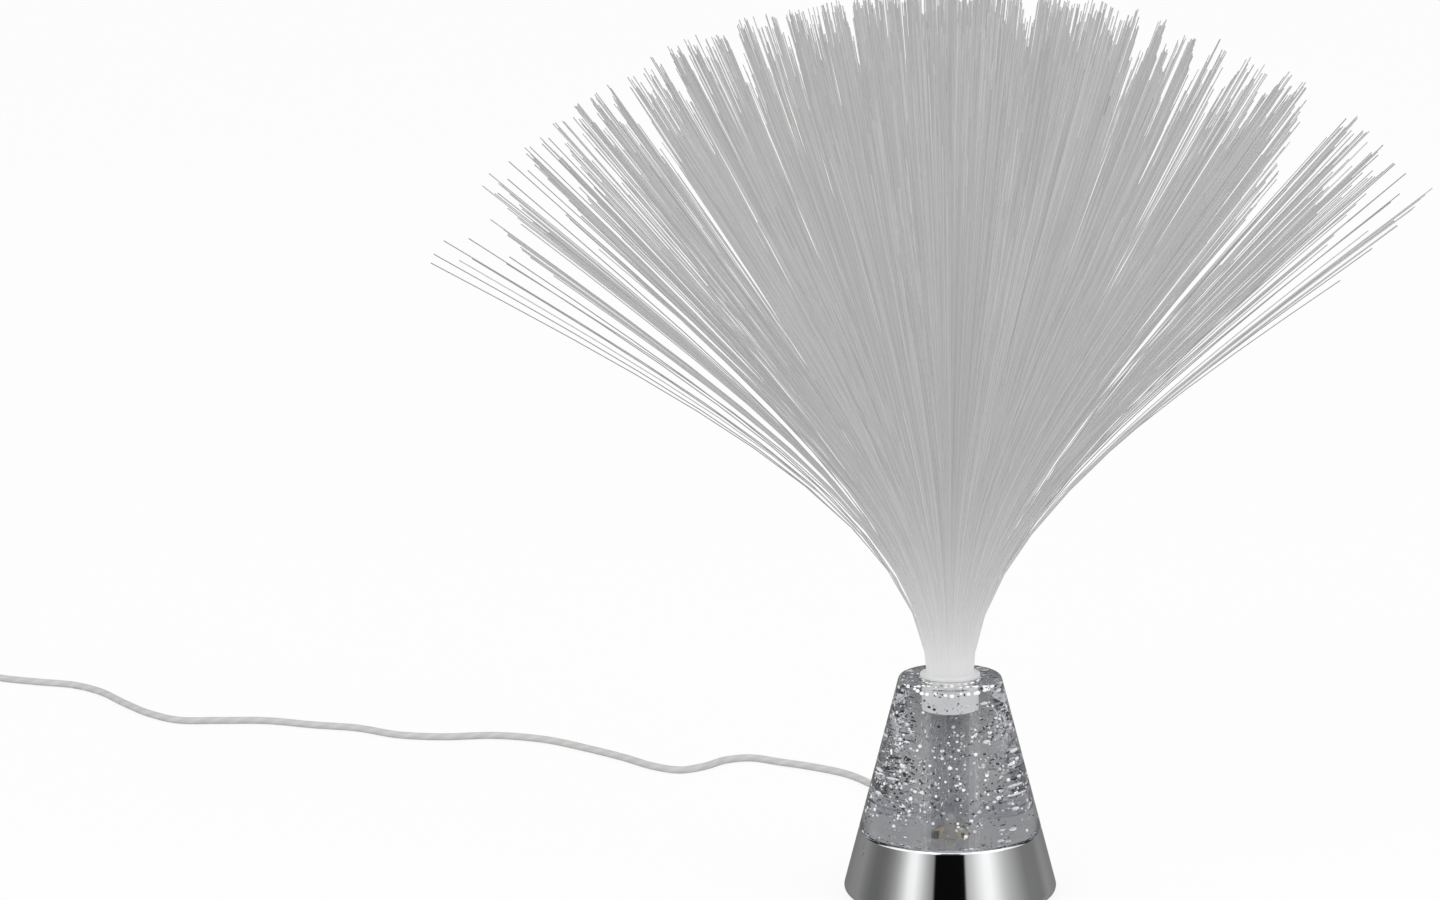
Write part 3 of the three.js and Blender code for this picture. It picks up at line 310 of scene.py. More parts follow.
def show(material, share, first, second):
    """Makes a mix of two shaders the material's surface."""
    mix = add_node(material, "ShaderNodeMixShader", {0: share, 1: first, 2: second})
    wire(material, mix.outputs[0], material.node_tree.nodes["Material Output"].inputs["Surface"])


def map_range(owner, value, low, high, **settings):
    """How far a value has come from low to high, from 0 to 1."""
    inputs = {"Value": value, "From Min": low, "From Max": high}
    return add_node(owner, "ShaderNodeMapRange", inputs, **settings).outputs["Result"]


def map_axes(material):
    """The u and v of a piece's map."""
    place = add_node(material, "ShaderNodeUVMap", uv_map="OFBake").outputs["UV"]
    return list(add_node(material, "ShaderNodeSeparateXYZ", {0: place}).outputs)[:2]


def noise(material, scale):
    """A noise texture over the object's own coordinates. The scale is in features per metre."""
    inputs = {"Vector": add_node(material, "ShaderNodeTexCoord").outputs["Object"], "Scale": scale, "Detail": 3.0}
    return add_node(material, "ShaderNodeTexNoise", inputs).outputs["Fac"]


def ramp(owner, factor, stops):
    """A colour ramp. Each stop is (place, colour or grey level)."""
    node = add_node(owner, "ShaderNodeValToRGB", {"Fac": factor})
    elements = node.color_ramp.elements
    while len(elements) < len(stops):
        elements.new(0.5)
    for element, (place, colour) in zip(elements, stops):
        element.position = place
        element.color = (*colour, 1.0) if isinstance(colour, tuple) else grey(colour)
    return node.outputs["Color"]


def add_bump(material, shader, height, strength, distance):
    inputs = {"Height": height, "Strength": strength, "Distance": distance}
    wire(material, add_node(material, "ShaderNodeBump", inputs).outputs["Normal"], shader.inputs["Normal"])


def plastic(name, low, high, roughness, scale=900.0, bump=0.06, **more):
    """Moulded plastic: a slight mottle between two colours and a fine grain."""
    material, shader = make_material(name, roughness=roughness, **more)
    mottle = noise(material, scale * 0.12)
    wire(material, ramp(material, mottle, [(0.35, low), (0.65, high)]), shader.inputs["Base Color"])
    add_bump(material, shader, noise(material, scale * 4), bump, 0.0002)
    return material


def metal(name, low, high, rough_low, rough_high, scale):
    """Metal whose colour and gloss vary a little."""
    material, shader = make_material(name, metallic=1.0)
    cloud = noise(material, scale)
    wire(material, ramp(material, cloud, [(0.3, low), (0.7, high)]), shader.inputs["Base Color"])
    gloss = noise(material, scale * 0.6)
    wire(material, ramp(material, gloss, [(0.3, rough_low), (0.7, rough_high)]), shader.inputs["Roughness"])
    return material


def make_fibre_material():
    """Clear fibres in a mass look grey. The map's u is a fibre's own tone and v its place from root to tip."""
    material, shader = make_material("fibre", roughness=0.5, specular_ior_level=0.2)
    u, v = map_axes(material)
    tone = ramp(material, u, [(0.0, 0.36), (0.1, 0.43), (0.5, 0.50), (0.9, 0.58), (1.0, 0.66)])
    # Painted light: near the root the fibres are painted towards pale grey, for the light that brightens the dense
    # neck.
    root = ramp(material, v, [(0.0, 1.0), (0.03, 0.9), (0.08, 0.6), (0.15, 0.34), (0.25, 0.14), (0.4, 0.0)])
    wire(material, blend(material, root, tone, grey(0.84)), shader.inputs["Base Color"])
    # Painted light: to diffuse rays the fibres glow a plain grey instead of reflecting, so none of them lies in
    # another's shade.
    path = add_node(material, "ShaderNodeLightPath")
    painted_fill_glow = add_node(material, "ShaderNodeEmission", {"Color": grey(0.9), "Strength": 1.0})
    show(material, path.outputs["Is Diffuse Ray"], shader.outputs["BSDF"], painted_fill_glow.outputs["Emission"])
    return material


def make_cord_material():
    """A soft sheath over twisted strands, which show as faint slanted ridges."""
    material, shader = make_material("cord_sheath", roughness=0.42)
    u, v = map_axes(material)
    turns = calculate(material, "ADD", calculate(material, "MULTIPLY", u, 2.0), v)
    wave = calculate(material, "SINE", calculate(material, "MULTIPLY", turns, 2 * math.pi))
    ridge = calculate(material, "MULTIPLY_ADD", wave, 0.5, 0.5)
    colours = [(0.0, (0.56, 0.56, 0.555)), (0.7, (0.59, 0.59, 0.585)), (1.0, (0.63, 0.63, 0.625))]
    wire(material, ramp(material, ridge, colours), shader.inputs["Base Color"])
    add_bump(material, shader, ridge, 0.12, 0.0002)
    return material


def make_acrylic_material(name, colour, roughness, density=0.0):
    """Clear acrylic whose colour is darker towards the top. With a density, it also darkens with depth."""
    tint_low, tint_high, deepening = 0.055, 0.08, 0.6
    material, shader = make_material(name, roughness=roughness, ior=1.49, transmission_weight=0.96)
    place = add_node(material, "ShaderNodeTexCoord").outputs["Object"]
    height = add_node(material, "ShaderNodeSeparateXYZ", {0: place}).outputs["Z"]
    rise = map_range(material, height, tint_low, tint_high)
    deep = tuple(deepening * part for part in colour)
    wire(material, ramp(material, rise, [(0.0, colour), (1.0, deep)]), shader.inputs["Base Color"])
    add_bump(material, shader, noise(material, 60.0), 0.03, 0.001)
    # Lamp light and scattered light pass straight through, so what lies inside is lit.
    path = add_node(material, "ShaderNodeLightPath").outputs
    lit = calculate(material, "MAXIMUM", path["Is Shadow Ray"], path["Is Diffuse Ray"])
    clear = add_node(material, "ShaderNodeBsdfTransparent", {"Color": (0.93, 0.93, 0.94, 1)})
    show(material, lit, shader.outputs["BSDF"], clear.outputs["BSDF"])
    if density:
        inputs = {"Color": (0.60, 0.61, 0.63, 1), "Density": density}
        absorb = add_node(material, "ShaderNodeVolumeAbsorption", inputs)
        output = material.node_tree.nodes["Material Output"]
        wire(material, absorb.outputs["Volume"], output.inputs["Volume"])
    return material


def make_glitter_material():
    """Metal flakes. The map's u is a flake's tone, from near black to bright: painted dark and bright reflections on
    top of what each flake really mirrors.
    """
    material, shader = make_material("glitter", metallic=1.0, roughness=0.2)
    tone, _ = map_axes(material)
    ramps = {
        "Base Color": [(0.0, 0.015), (0.15, 0.12), (0.3, 0.4), (0.7, 0.7), (1.0, 0.97)],
        "Roughness": [(0.0, 0.5), (0.5, 0.32), (0.8, 0.2), (1.0, 0.15)],
        "Metallic": [(0.0, 1.0), (0.5, 0.5), (1.0, 0.3)],
    }
    for socket, stops in ramps.items():
        wire(material, ramp(material, tone, stops), shader.inputs[socket])
    return material


def make_bead_material(name, glow):
    """Glossy white grains that glow: painted glints, for they are no lamp."""
    pale, white = (0.92, 0.92, 0.93), (1.0, 1.0, 1.0)
    return plastic(name, pale, white, 0.08, 4000.0, 0.0, emission_color=grey(1.0), emission_strength=glow)


MATERIALS = {
    "chrome": metal("chrome", (0.88, 0.885, 0.89), (0.93, 0.935, 0.94), 0.035, 0.075, 40.0),
    "acrylic": make_acrylic_material("acrylic", (0.94, 0.95, 0.975), 0.02, density=9.0),
    "bore": make_acrylic_material("bore", (0.66, 0.665, 0.68), 0.12),
    "glitter": make_glitter_material(),
    # Painted glints: the beads glow a little, and the sparks in the ring under the flange glow more.
    "bead": make_bead_material("bead", 0.28),
    "spark": make_bead_material("spark", 0.7),
    "white_plastic": plastic("white_plastic", (0.78, 0.78, 0.775), (0.83, 0.83, 0.825), 0.34),
    "ferrule": plastic("ferrule", (0.69, 0.69, 0.69), (0.73, 0.73, 0.73), 0.4),
    # Painted light: the sleeve, inside the acrylic, is painted paler than the ferrule's flange, for the light that
    # reaches it there.
    "sleeve": plastic("sleeve", (0.95, 0.95, 0.95), (0.98, 0.98, 0.98), 0.4),
    "satin": plastic("satin", (0.80, 0.80, 0.81), (0.86, 0.86, 0.87), 0.5),
    "shelf": plastic("shelf", (0.52, 0.52, 0.54), (0.60, 0.60, 0.62), 0.4),
    "fibre": make_fibre_material(),
    "cord": make_cord_material(),
    "board": plastic("board", (0.55, 0.47, 0.30), (0.66, 0.58, 0.40), 0.5),
    "led_lens": plastic("led_lens", (0.48, 0.48, 0.46), (0.56, 0.56, 0.54), 0.12, bump=0.0),
    "chip": plastic("chip", (0.012, 0.012, 0.013), (0.02, 0.02, 0.022), 0.45),
    "steel": metal("steel", (0.57, 0.58, 0.59), (0.64, 0.65, 0.66), 0.2, 0.27, 260.0),
    "brass": metal("brass", (0.68, 0.5, 0.22), (0.78, 0.6, 0.3), 0.22, 0.35, 700.0),
    "black_plastic": plastic("black_plastic", (0.018, 0.018, 0.02), (0.028, 0.028, 0.03), 0.5),
    "foam": plastic("foam", (0.02, 0.02, 0.022), (0.035, 0.035, 0.037), 0.95, bump=0.5),
    "strap": plastic("strap", (0.02, 0.02, 0.022), (0.03, 0.03, 0.032), 0.8, scale=2000.0, bump=0.6),
    "rubber": plastic("rubber", (0.66, 0.66, 0.65), (0.72, 0.72, 0.71), 0.5),
    "red_wire": plastic("red_wire", (0.42, 0.02, 0.018), (0.5, 0.03, 0.025), 0.4),
}

# Every CAD node gets its slot's material. Those that a finer piece replaces are hidden later.
SLOTS = {row["node"]: row["material_slot"] for row in frame["record"]["subparts"]}
for node, obj in frame["nodes"].items():
    obj.data.materials.clear()
    obj.data.materials.append(MATERIALS[SLOTS[node]])


def finish_piece(obj, body, slot, *nodes):
    """The piece rides on a body and stands for the named nodes. The slot is not used."""
    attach(obj, body)
    if nodes:
        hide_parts(*nodes)
    return obj


# Cord, from inside the base through the switch and the coil to the plug

SWITCH = (-453.0, 352.0)
SWITCH_HALF = 23.0
COIL_CENTRE = (-511.5, 328.5)
COIL_OUTER = 23.5
COIL_PITCH = 3.5
COIL_TURNS = 7.5
COIL_FLOOR = 2.6
PLUG = (-466.5, 305.0)
CORD_TWIST = 9.0  # the length in which its strands turn once
CORD_EXIT = (0, 0.0386, 0.009)  # in metres

CORD_ROUTE = [
    (0, 34, 9), (0, 38.6, 9), (0, 56, 9), (0, 61, 9), (-1, 71, 7.3), (-4, 84, 4.1), (-7, 97, 2.1),
    (-11, 112, 1.65), (-17, 132, 1.6), (-25, 151, 1.6), (-35, 168, 1.6), (-49, 180, 1.6), (-62, 188, 1.6),
    (-74, 195, 1.6), (-84, 192, 1.6), (-93, 182, 1.6), (-103, 176.5, 1.6), (-114, 183, 1.6), (-126, 197, 1.6),
    (-141, 212, 1.6), (-160, 228, 1.6), (-181, 235.5, 1.6), (-203, 234, 1.6), (-222, 238, 1.6),
    (-240, 250, 1.6), (-259, 256, 1.6), (-280, 264, 1.6), (-300, 265, 1.6), (-317, 266, 1.6), (-331, 278, 1.6),
    (-344, 297, 1.6), (-357, 318, 1.6), (-370, 330, 1.6), (-386, 336, 1.6), (-402, 343, 1.6),
    (-414, 348.5, 2.6),
]


def coil_points():
    """The coil spirals in on the table, climbs a layer at its inmost turn and spirals out again."""
    half = COIL_TURNS / 2
    points = []
    for i in range(round(COIL_TURNS * 24) + 1):
        turn = i / 24
        angle = math.pi / 2 + 2 * math.pi * turn
        radius = COIL_OUTER - COIL_PITCH * (half - abs(turn - half))
        t = min(1.0, max(0.0, (turn - half + 0.25) / 0.5))
        climb = t * t * (3 - 2 * t)
        points.append(
            (
                COIL_CENTRE[0] + radius * math.cos(angle),
                COIL_CENTRE[1] + radius * math.sin(angle),
                COIL_FLOOR + COIL_PITCH * climb,
            )
        )
    return points


def cord_points():
    x, y = SWITCH
    top = COIL_FLOOR + COIL_PITCH
    lead_in = COIL_CENTRE[0] + 2 * CORD_RADIUS
    return [
        *CORD_ROUTE,
        (x + SWITCH_HALF + 3, y, 4.6),
        (x + SWITCH_HALF - 4, y, 4.6),
        (x, y, 4.6),
        (x - SWITCH_HALF + 4, y, 4.6),
        (x - SWITCH_HALF - 1.5, y, 4.6),
        (lead_in + 6, y, COIL_FLOOR),
        *coil_points(),
        (lead_in + 3, PLUG[1], top),
        (PLUG[0] - 6, PLUG[1], 4),
        (PLUG[0], PLUG[1], 4),
    ]


def put_away(obj, slot, *nodes, body="base"):
    """A piece of the stored end of the cord, which the chrome doesn't mirror."""
    obj.visible_glossy = False
    return finish_piece(obj, body, slot, *nodes)


def make_switch():
    length, width, height, corner, bevel, wall, split = 46.0, 17.0, 11.0, 6.97, 1.4, 1.4, 5.2
    gap, chamfer = 0.15, 0.25
    inner = (length - 2 * wall, width - 2 * wall, corner - wall)

    def outside(inset, z):
        return level(length - 2 * inset, width - 2 * inset, corner - inset, z)

    place = (*SWITCH, 0)
    lower = [outside(inset, rise) for inset, rise in rounding(bevel)]
    lower += [outside(0, split - gap - chamfer), outside(chamfer, split - gap)]
    lower += [level(*inner, split - gap), level(*inner, wall)]
    points, faces = moved(loft(lower), place)
    bottom = mesh_object("switch_bottom", points, faces, MATERIALS["white_plastic"])
    put_away(bottom, "white_plastic", "switch_lower_shell")

    hole = (17.76, 8.59)
    upper = [outside(chamfer, split + gap), outside(0, split + gap + chamfer)]
    upper += [outside(inset, height - rise) for inset, rise in reversed(rounding(bevel))]
    upper += [level(hole[0] + 3.0, hole[1] + 3.0, 1.9, height), level(hole[0] + 2.4, hole[1] + 2.4, 1.6, height + 0.3)]
    upper += [level(hole[0] + 0.6, hole[1] + 0.6, 0.7, height + 0.3), level(*hole, 0.4, height)]
    upper += [level(*hole, 0.4, height - wall), level(*inner, height - wall), level(*inner, split + gap)]
    parts = [loft(upper, closed=True)]
    for x in (-17.6, -15.9, -14.2, 14.2, 15.9, 17.6):
        rib = plate(0.8, 9.6, 0.4, height - 0.2, height + 0.32, 0.22)
        parts.append(moved(rib, (x, 0, 0)))
    points, faces = moved(merged(*parts), place)
    top = mesh_object("switch_top", points, faces, MATERIALS["white_plastic"])
    put_away(top, "white_plastic", "switch_upper_shell")
    return [bottom, top, make_rocker()]


def make_rocker():
    """The rocker, with a raised dot on its one end, at rest on its near contact."""
    end, half, rise, dish, skirt, nub = 8.28, 3.995, 2.6, 1.2, 0.6, 3.0

    def top(x):
        return rise - dish * (1 - (x / end) ** 2)

    outline = [(end, -skirt), (end, rise - 0.5), (end - 0.15, rise - 0.15)]
    outline += [(x, top(x)) for x in np.linspace(end - 0.5, 0.5 - end, 15)]
    outline += [(0.15 - end, rise - 0.15), (-end, rise - 0.5), (-end, -skirt)]
    outline += [(-3.0, skirt - nub), (-1.5, -nub), (1.5, -nub), (3.0, skirt - nub)]
    outline = np.array(outline)
    along = np.roll(outline, -1, axis=0) - np.roll(outline, 1, axis=0)
    inward = np.stack([-along[:, 1], along[:, 0]], 1) / np.linalg.norm(along, axis=1)[:, None]

    def section(inset, y):
        place = outline + inward * inset
        return np.stack([place[:, 0], np.full(len(place), y), place[:, 1]], 1)

    steps = rounding(0.4, (0, 30, 60, 90))
    rings = [section(inset, half - off) for inset, off in steps]
    rings += [section(inset, off - half) for inset, off in reversed(steps)]
    angles = np.linspace(0, 2 * np.pi, 24, endpoint=False)
    circle = np.stack([1.2 * np.cos(angles), np.zeros(24), 1.2 * np.sin(angles)], 1)
    pins = [loft([circle + (0, y, 0), circle + (0, y - 1.6, 0)]) for y in (half + 1.4, 0.2 - half)]
    dot = moved(plate(1.5, 1.5, 0.75, 0, 0.5, 0.2), (5.6, 0, top(5.6) - 0.22))
    points, faces = merged(loft(rings), *pins, dot)
    tilt = math.radians(8)
    x, z = points[:, 0].copy(), points[:, 2].copy()
    points[:, 0] = x * math.cos(tilt) + z * math.sin(tilt)
    points[:, 2] = z * math.cos(tilt) - x * math.sin(tilt)
    rocker = mesh_object("switch_key", points + (*SWITCH, 8.2), faces, MATERIALS["white_plastic"])
    return put_away(rocker, "white_plastic", "switch_rocker", body="rocker")


def make_plug():
    """The plug's moulded grip with its ribbed strain relief, and its folded metal shell."""
    relief, length, width, height, corner, bevel = 10.0, 22.0, 15.4, 8.0, 2.6, 1.2
    middle = (PLUG[0] + relief + length / 2, PLUG[1], height / 2)
    parts = [plate(length, width, corner, -height / 2, height / 2, bevel)]
    parts.append(plate(15.5, 10.6, 2.2, height / 2 - 0.5, height / 2 + 0.12, 0.25))
    for x in np.linspace(-5.4, 5.4, 7):
        rib = plate(0.8, 7.8, 0.4, height / 2 - 0.3, height / 2 + 0.4, 0.25)
        parts.append(moved(rib, (x, 0, 0)))
    points, faces = moved(merged(*parts), middle)
    grip = mesh_object("plug_grip", points, faces, MATERIALS["white_plastic"])

    profile = [(1.45, 0.0), (1.9, 0.0), (2.1, 0.2)]
    for k in range(5):
        start = 0.5 + 1.85 * k
        radius = 2.1 + 0.9 * start / relief
        profile += [(radius, start), (radius + 0.04, start + 1.0), (radius - 0.45, start + 1.15)]
        profile += [(radius - 0.4, start + 1.7)]
    profile += [(3.0, relief - 0.2), (3.0, relief + 2.6), (1.45, relief + 2.6)]
    neck = lathe("plug_relief", profile, MATERIALS["rubber"], segments=40)
    lay_down(neck, "X", (*PLUG, height / 2))

    depth, tall, gauge = 18.0, 4.5, 0.4
    sides = [-5.5, -3.5, -1.3, 1.3, 3.5, 5.5]
    section = [(y, -tall / 2) for y in sides] + [(6.0, -1.75), (6.0, 1.75)]
    section += [(y, tall / 2) for y in reversed(sides)] + [(-6.0, 1.75), (-6.0, -1.75)]
    section = np.array(section)
    windows = {(1, 1), (1, 3), (1, 9), (1, 11)}
    rings = []
    for x in (0.0, 10.9, 13.1, depth - 0.25, depth):
        flare = 0.97 if x == depth else 1.0
        rings.append(np.stack([np.full(len(section), x), section[:, 0] * flare, section[:, 1] * flare], 1))
    points, faces = loft(rings)
    faces = [face for n, face in enumerate(faces[:-2]) if divmod(n, len(section)) not in windows]
    place = (PLUG[0] + relief + length - 6.0, PLUG[1], height / 2)
    shell = mesh_object("plug_jacket", points + place, faces, MATERIALS["steel"], smooth_angle=50)
    thick = shell.modifiers.new("gauge", "SOLIDIFY")
    thick.thickness = gauge * MM
    thick.offset = -1
    put_away(grip, "white_plastic", "plug_body")
    put_away(neck, "rubber", "plug_body")
    put_away(shell, "steel", "plug_shell")
    return [grip, neck, shell]


def make_tie():
    """A strap round the coil, with its end lapped over its top."""
    wide, tall, deep, thick, corner = 20.1, 8.7, 5.0, 0.8, 2.6
    centre = (COIL_CENTRE[0] - 16.06, COIL_CENTRE[1], tall / 2)

    def band(inset, y):
        flat = level(wide - 2 * inset, tall - 2 * inset, corner - inset, 0.0)
        return np.stack([flat[:, 0], np.full(len(flat), y), flat[:, 1]], 1)

    half, edge = deep / 2, 0.2
    steps = [(0, half - edge), (0, edge - half), (edge, -half), (thick - edge, -half)]
    steps += [(thick, edge - half), (thick, half - edge), (thick - edge, half), (edge, half)]
    parts = [loft([band(inset, y) for inset, y in steps], closed=True)]
    parts.append(moved(plate(10.5, deep, 0.8, tall / 2 - 0.1, tall / 2 + 0.55, 0.2), (1.5, 0, 0)))
    for x in (-2.2, -1.2, -0.2, 0.8):
        parts.append(moved(plate(0.45, deep - 1.0, 0.2, tall / 2 + 0.4, tall / 2 + 0.72, 0.12), (x + 4.4, 0, 0)))
    points, faces = moved(merged(*parts), centre)
    tie = mesh_object("coil_strap", points, faces, MATERIALS["strap"])
    return put_away(tie, "black_plastic", "coil_tie")


def make_grommet():
    """A strain relief that tapers along the cord, with grooves that let it bend."""
    profile = [(1.46, 37.0), (3.0, 37.0), (3.0, 37.4), (3.9, 37.4), (4.1, 37.6)]
    profile += [*arc((3.7, 39.6), 0.4, 0, 90, 5), (3.45, 40.0), (3.3, 40.3)]
    for k in range(7):
        start = 40.9 + 2.05 * k
        radius = 3.3 - (start - 40.0) / 16
        profile += [(radius, start), (radius - 0.06, start + 1.1), (radius - 0.5, start + 1.25)]
        profile += [(radius - 0.55, start + 1.8)]
    profile += [(2.36, 55.3), (2.3, 55.7), (2.1, 56.0), (1.46, 56.0)]
    grommet = lathe("cord_relief", profile, MATERIALS["rubber"], segments=48)
    lay_down(grommet, "Y", (0, 0, CORD_EXIT[2] / MM))
    finish_piece(grommet, "base", "rubber", "cord_grommet")


def make_pad():
    """A foam foot under the base, skinned at its edge."""
    profile = [(0, 0), (32.9, 0), *arc((32.8, 0.4), 0.4, -90, 0, 4), *arc((32.6, 0.9), 0.6, 0, 90, 5), (0, 1.5)]
    pad = lathe("foot_pad", profile, MATERIALS["foam"], segments=128)
    finish_piece(pad, "base", "foam", "base_pad")


def make_cord():
    path = evenly(smooth_path(cord_points(), 1.0), CORD_TWIST / 4)
    cord = tube("cord", path, CORD_RADIUS, 16, MATERIALS["cord"])
    cord.visible_glossy = False
    finish_piece(cord, "base", "cord", "cord_lead", "cord_link", "cord_coil", "cord_tail")
    inside = ["switch_bridge_wire", "switch_contact_fixed", "switch_contact_spring", "switch_screw", "plug_tongue"]
    on_it = [*make_switch(), *make_plug(), *inside, make_tie()]


make_cord()
make_grommet()
make_pad()


# The cone of chrome and acrylic, its glitter and the ferrule

GLITTER_LOW, GLITTER_HIGH = 24.0, 78.5
CLUSTER_COUNT, CLUSTER_SPREAD = 150, 2.2
DULL_FLAKES, DARK_FLAKES, BRIGHT_FLAKES, RING_FLAKES = 1300, 1300, 260, 70
LOOSE_BEADS, RING_BEADS = 330, 28
FLAKE_SIDES = 6


def make_chrome():
    foot, lower, rim = 0.6, 3.0, 1.6
    slope = math.degrees(SLOPE)
    lower_centre = (BASE_RADIUS - lower / math.cos(SLOPE), ROUND_HEIGHT)
    rim_centre = (side_radius(SEAM_HEIGHT - rim) - rim / math.cos(SLOPE), SEAM_HEIGHT - rim)
    recess = side_radius(SEAM_HEIGHT) - 3.3
    shelf_top, shelf_bottom, wall = 22.6, 21.0, 1.86
    profile = [
        (36.0, foot),
        *arc(lower_centre, lower, -90, slope, 14),
        *arc(rim_centre, rim, slope, 90, 10),
        (recess + 0.3, SEAM_HEIGHT),
        (recess, SEAM_HEIGHT - 0.3),
        (recess, shelf_top),
        (11.0, shelf_top),
        (11.0, shelf_bottom),
        (side_radius(shelf_bottom) - wall, shelf_bottom),
        (side_radius(6.5) - wall, 6.5),
        (36.0, 4.7),
    ]
    shell = lathe("chrome_cone", profile, MATERIALS["chrome"], segments=192)
    shell.data.materials.append(MATERIALS["satin"])
    shell.data.materials.append(MATERIALS["shelf"])
    for face in shell.data.polygons:
        inward = face.normal.dot(Vector((*face.center.xy, 0))) < 0.005 * MM
        if inward and face.center.z < (SEAM_HEIGHT - 0.5) * MM:
            face.material_index = 2 if face.center.z > (shelf_bottom + 0.5) * MM else 1
    finish_piece(shell, "base", "chrome", "chrome_shell")


def make_acrylic():
    shoulder, edge = SEAM_HEIGHT + SEAT_GAP, 1.8
    spigot = side_radius(SEAM_HEIGHT) - 3.6
    edge_centre = (side_radius(TOP_HEIGHT - edge) - edge / math.cos(SLOPE), TOP_HEIGHT - edge)
    floor = TOP_HEIGHT - 1.2
    touch = 0.03  # how far the snug sleeve sinks in, so that no air shows between the two
    profile = [
        (7.5, 22.9),
        (spigot - 0.3, 22.9),
        (spigot, 23.2),
        (spigot, shoulder),
        (side_radius(shoulder) - 0.3, shoulder),
        (side_radius(shoulder + 0.3), shoulder + 0.3),
        *arc(edge_centre, edge, math.degrees(SLOPE), 90, 12),
        (11.7, TOP_HEIGHT),
        (11.6, TOP_HEIGHT - 0.1),
        (11.6, floor),
        (10.4 - touch, floor),
        (SLEEVE_RADIUS - touch, FLANGE_BOTTOM - 4.2 - touch),
        (SLEEVE_RADIUS - touch, SLEEVE_BOTTOM),
        (7.5, SLEEVE_BOTTOM),
    ]
    cone = lathe("acrylic", profile, MATERIALS["acrylic"], segments=192)
    cone.data.materials.append(MATERIALS["bore"])
    for face in cone.data.polygons:
        if face.center.z < (SLEEVE_BOTTOM - 1) * MM and face.center.xy.length < 8 * MM:
            face.material_index = 1
    finish_piece(cone, "base", "acrylic", "acrylic_cone")


def polar(radius, turn, height):
    return np.array([radius * math.cos(turn), radius * math.sin(turn), height])


def flake(centre, normal, size, turn):
    """Corners of a flat flake."""
    normal = normal / np.linalg.norm(normal)
    across = np.cross(normal, (math.cos(turn), math.sin(turn), 0.3))
    across /= np.linalg.norm(across)
    other = np.cross(normal, across)
    angles = 2 * math.pi * np.arange(FLAKE_SIDES) / FLAKE_SIDES
    return [centre + size * (math.cos(a) * across + math.sin(a) * other) for a in angles]


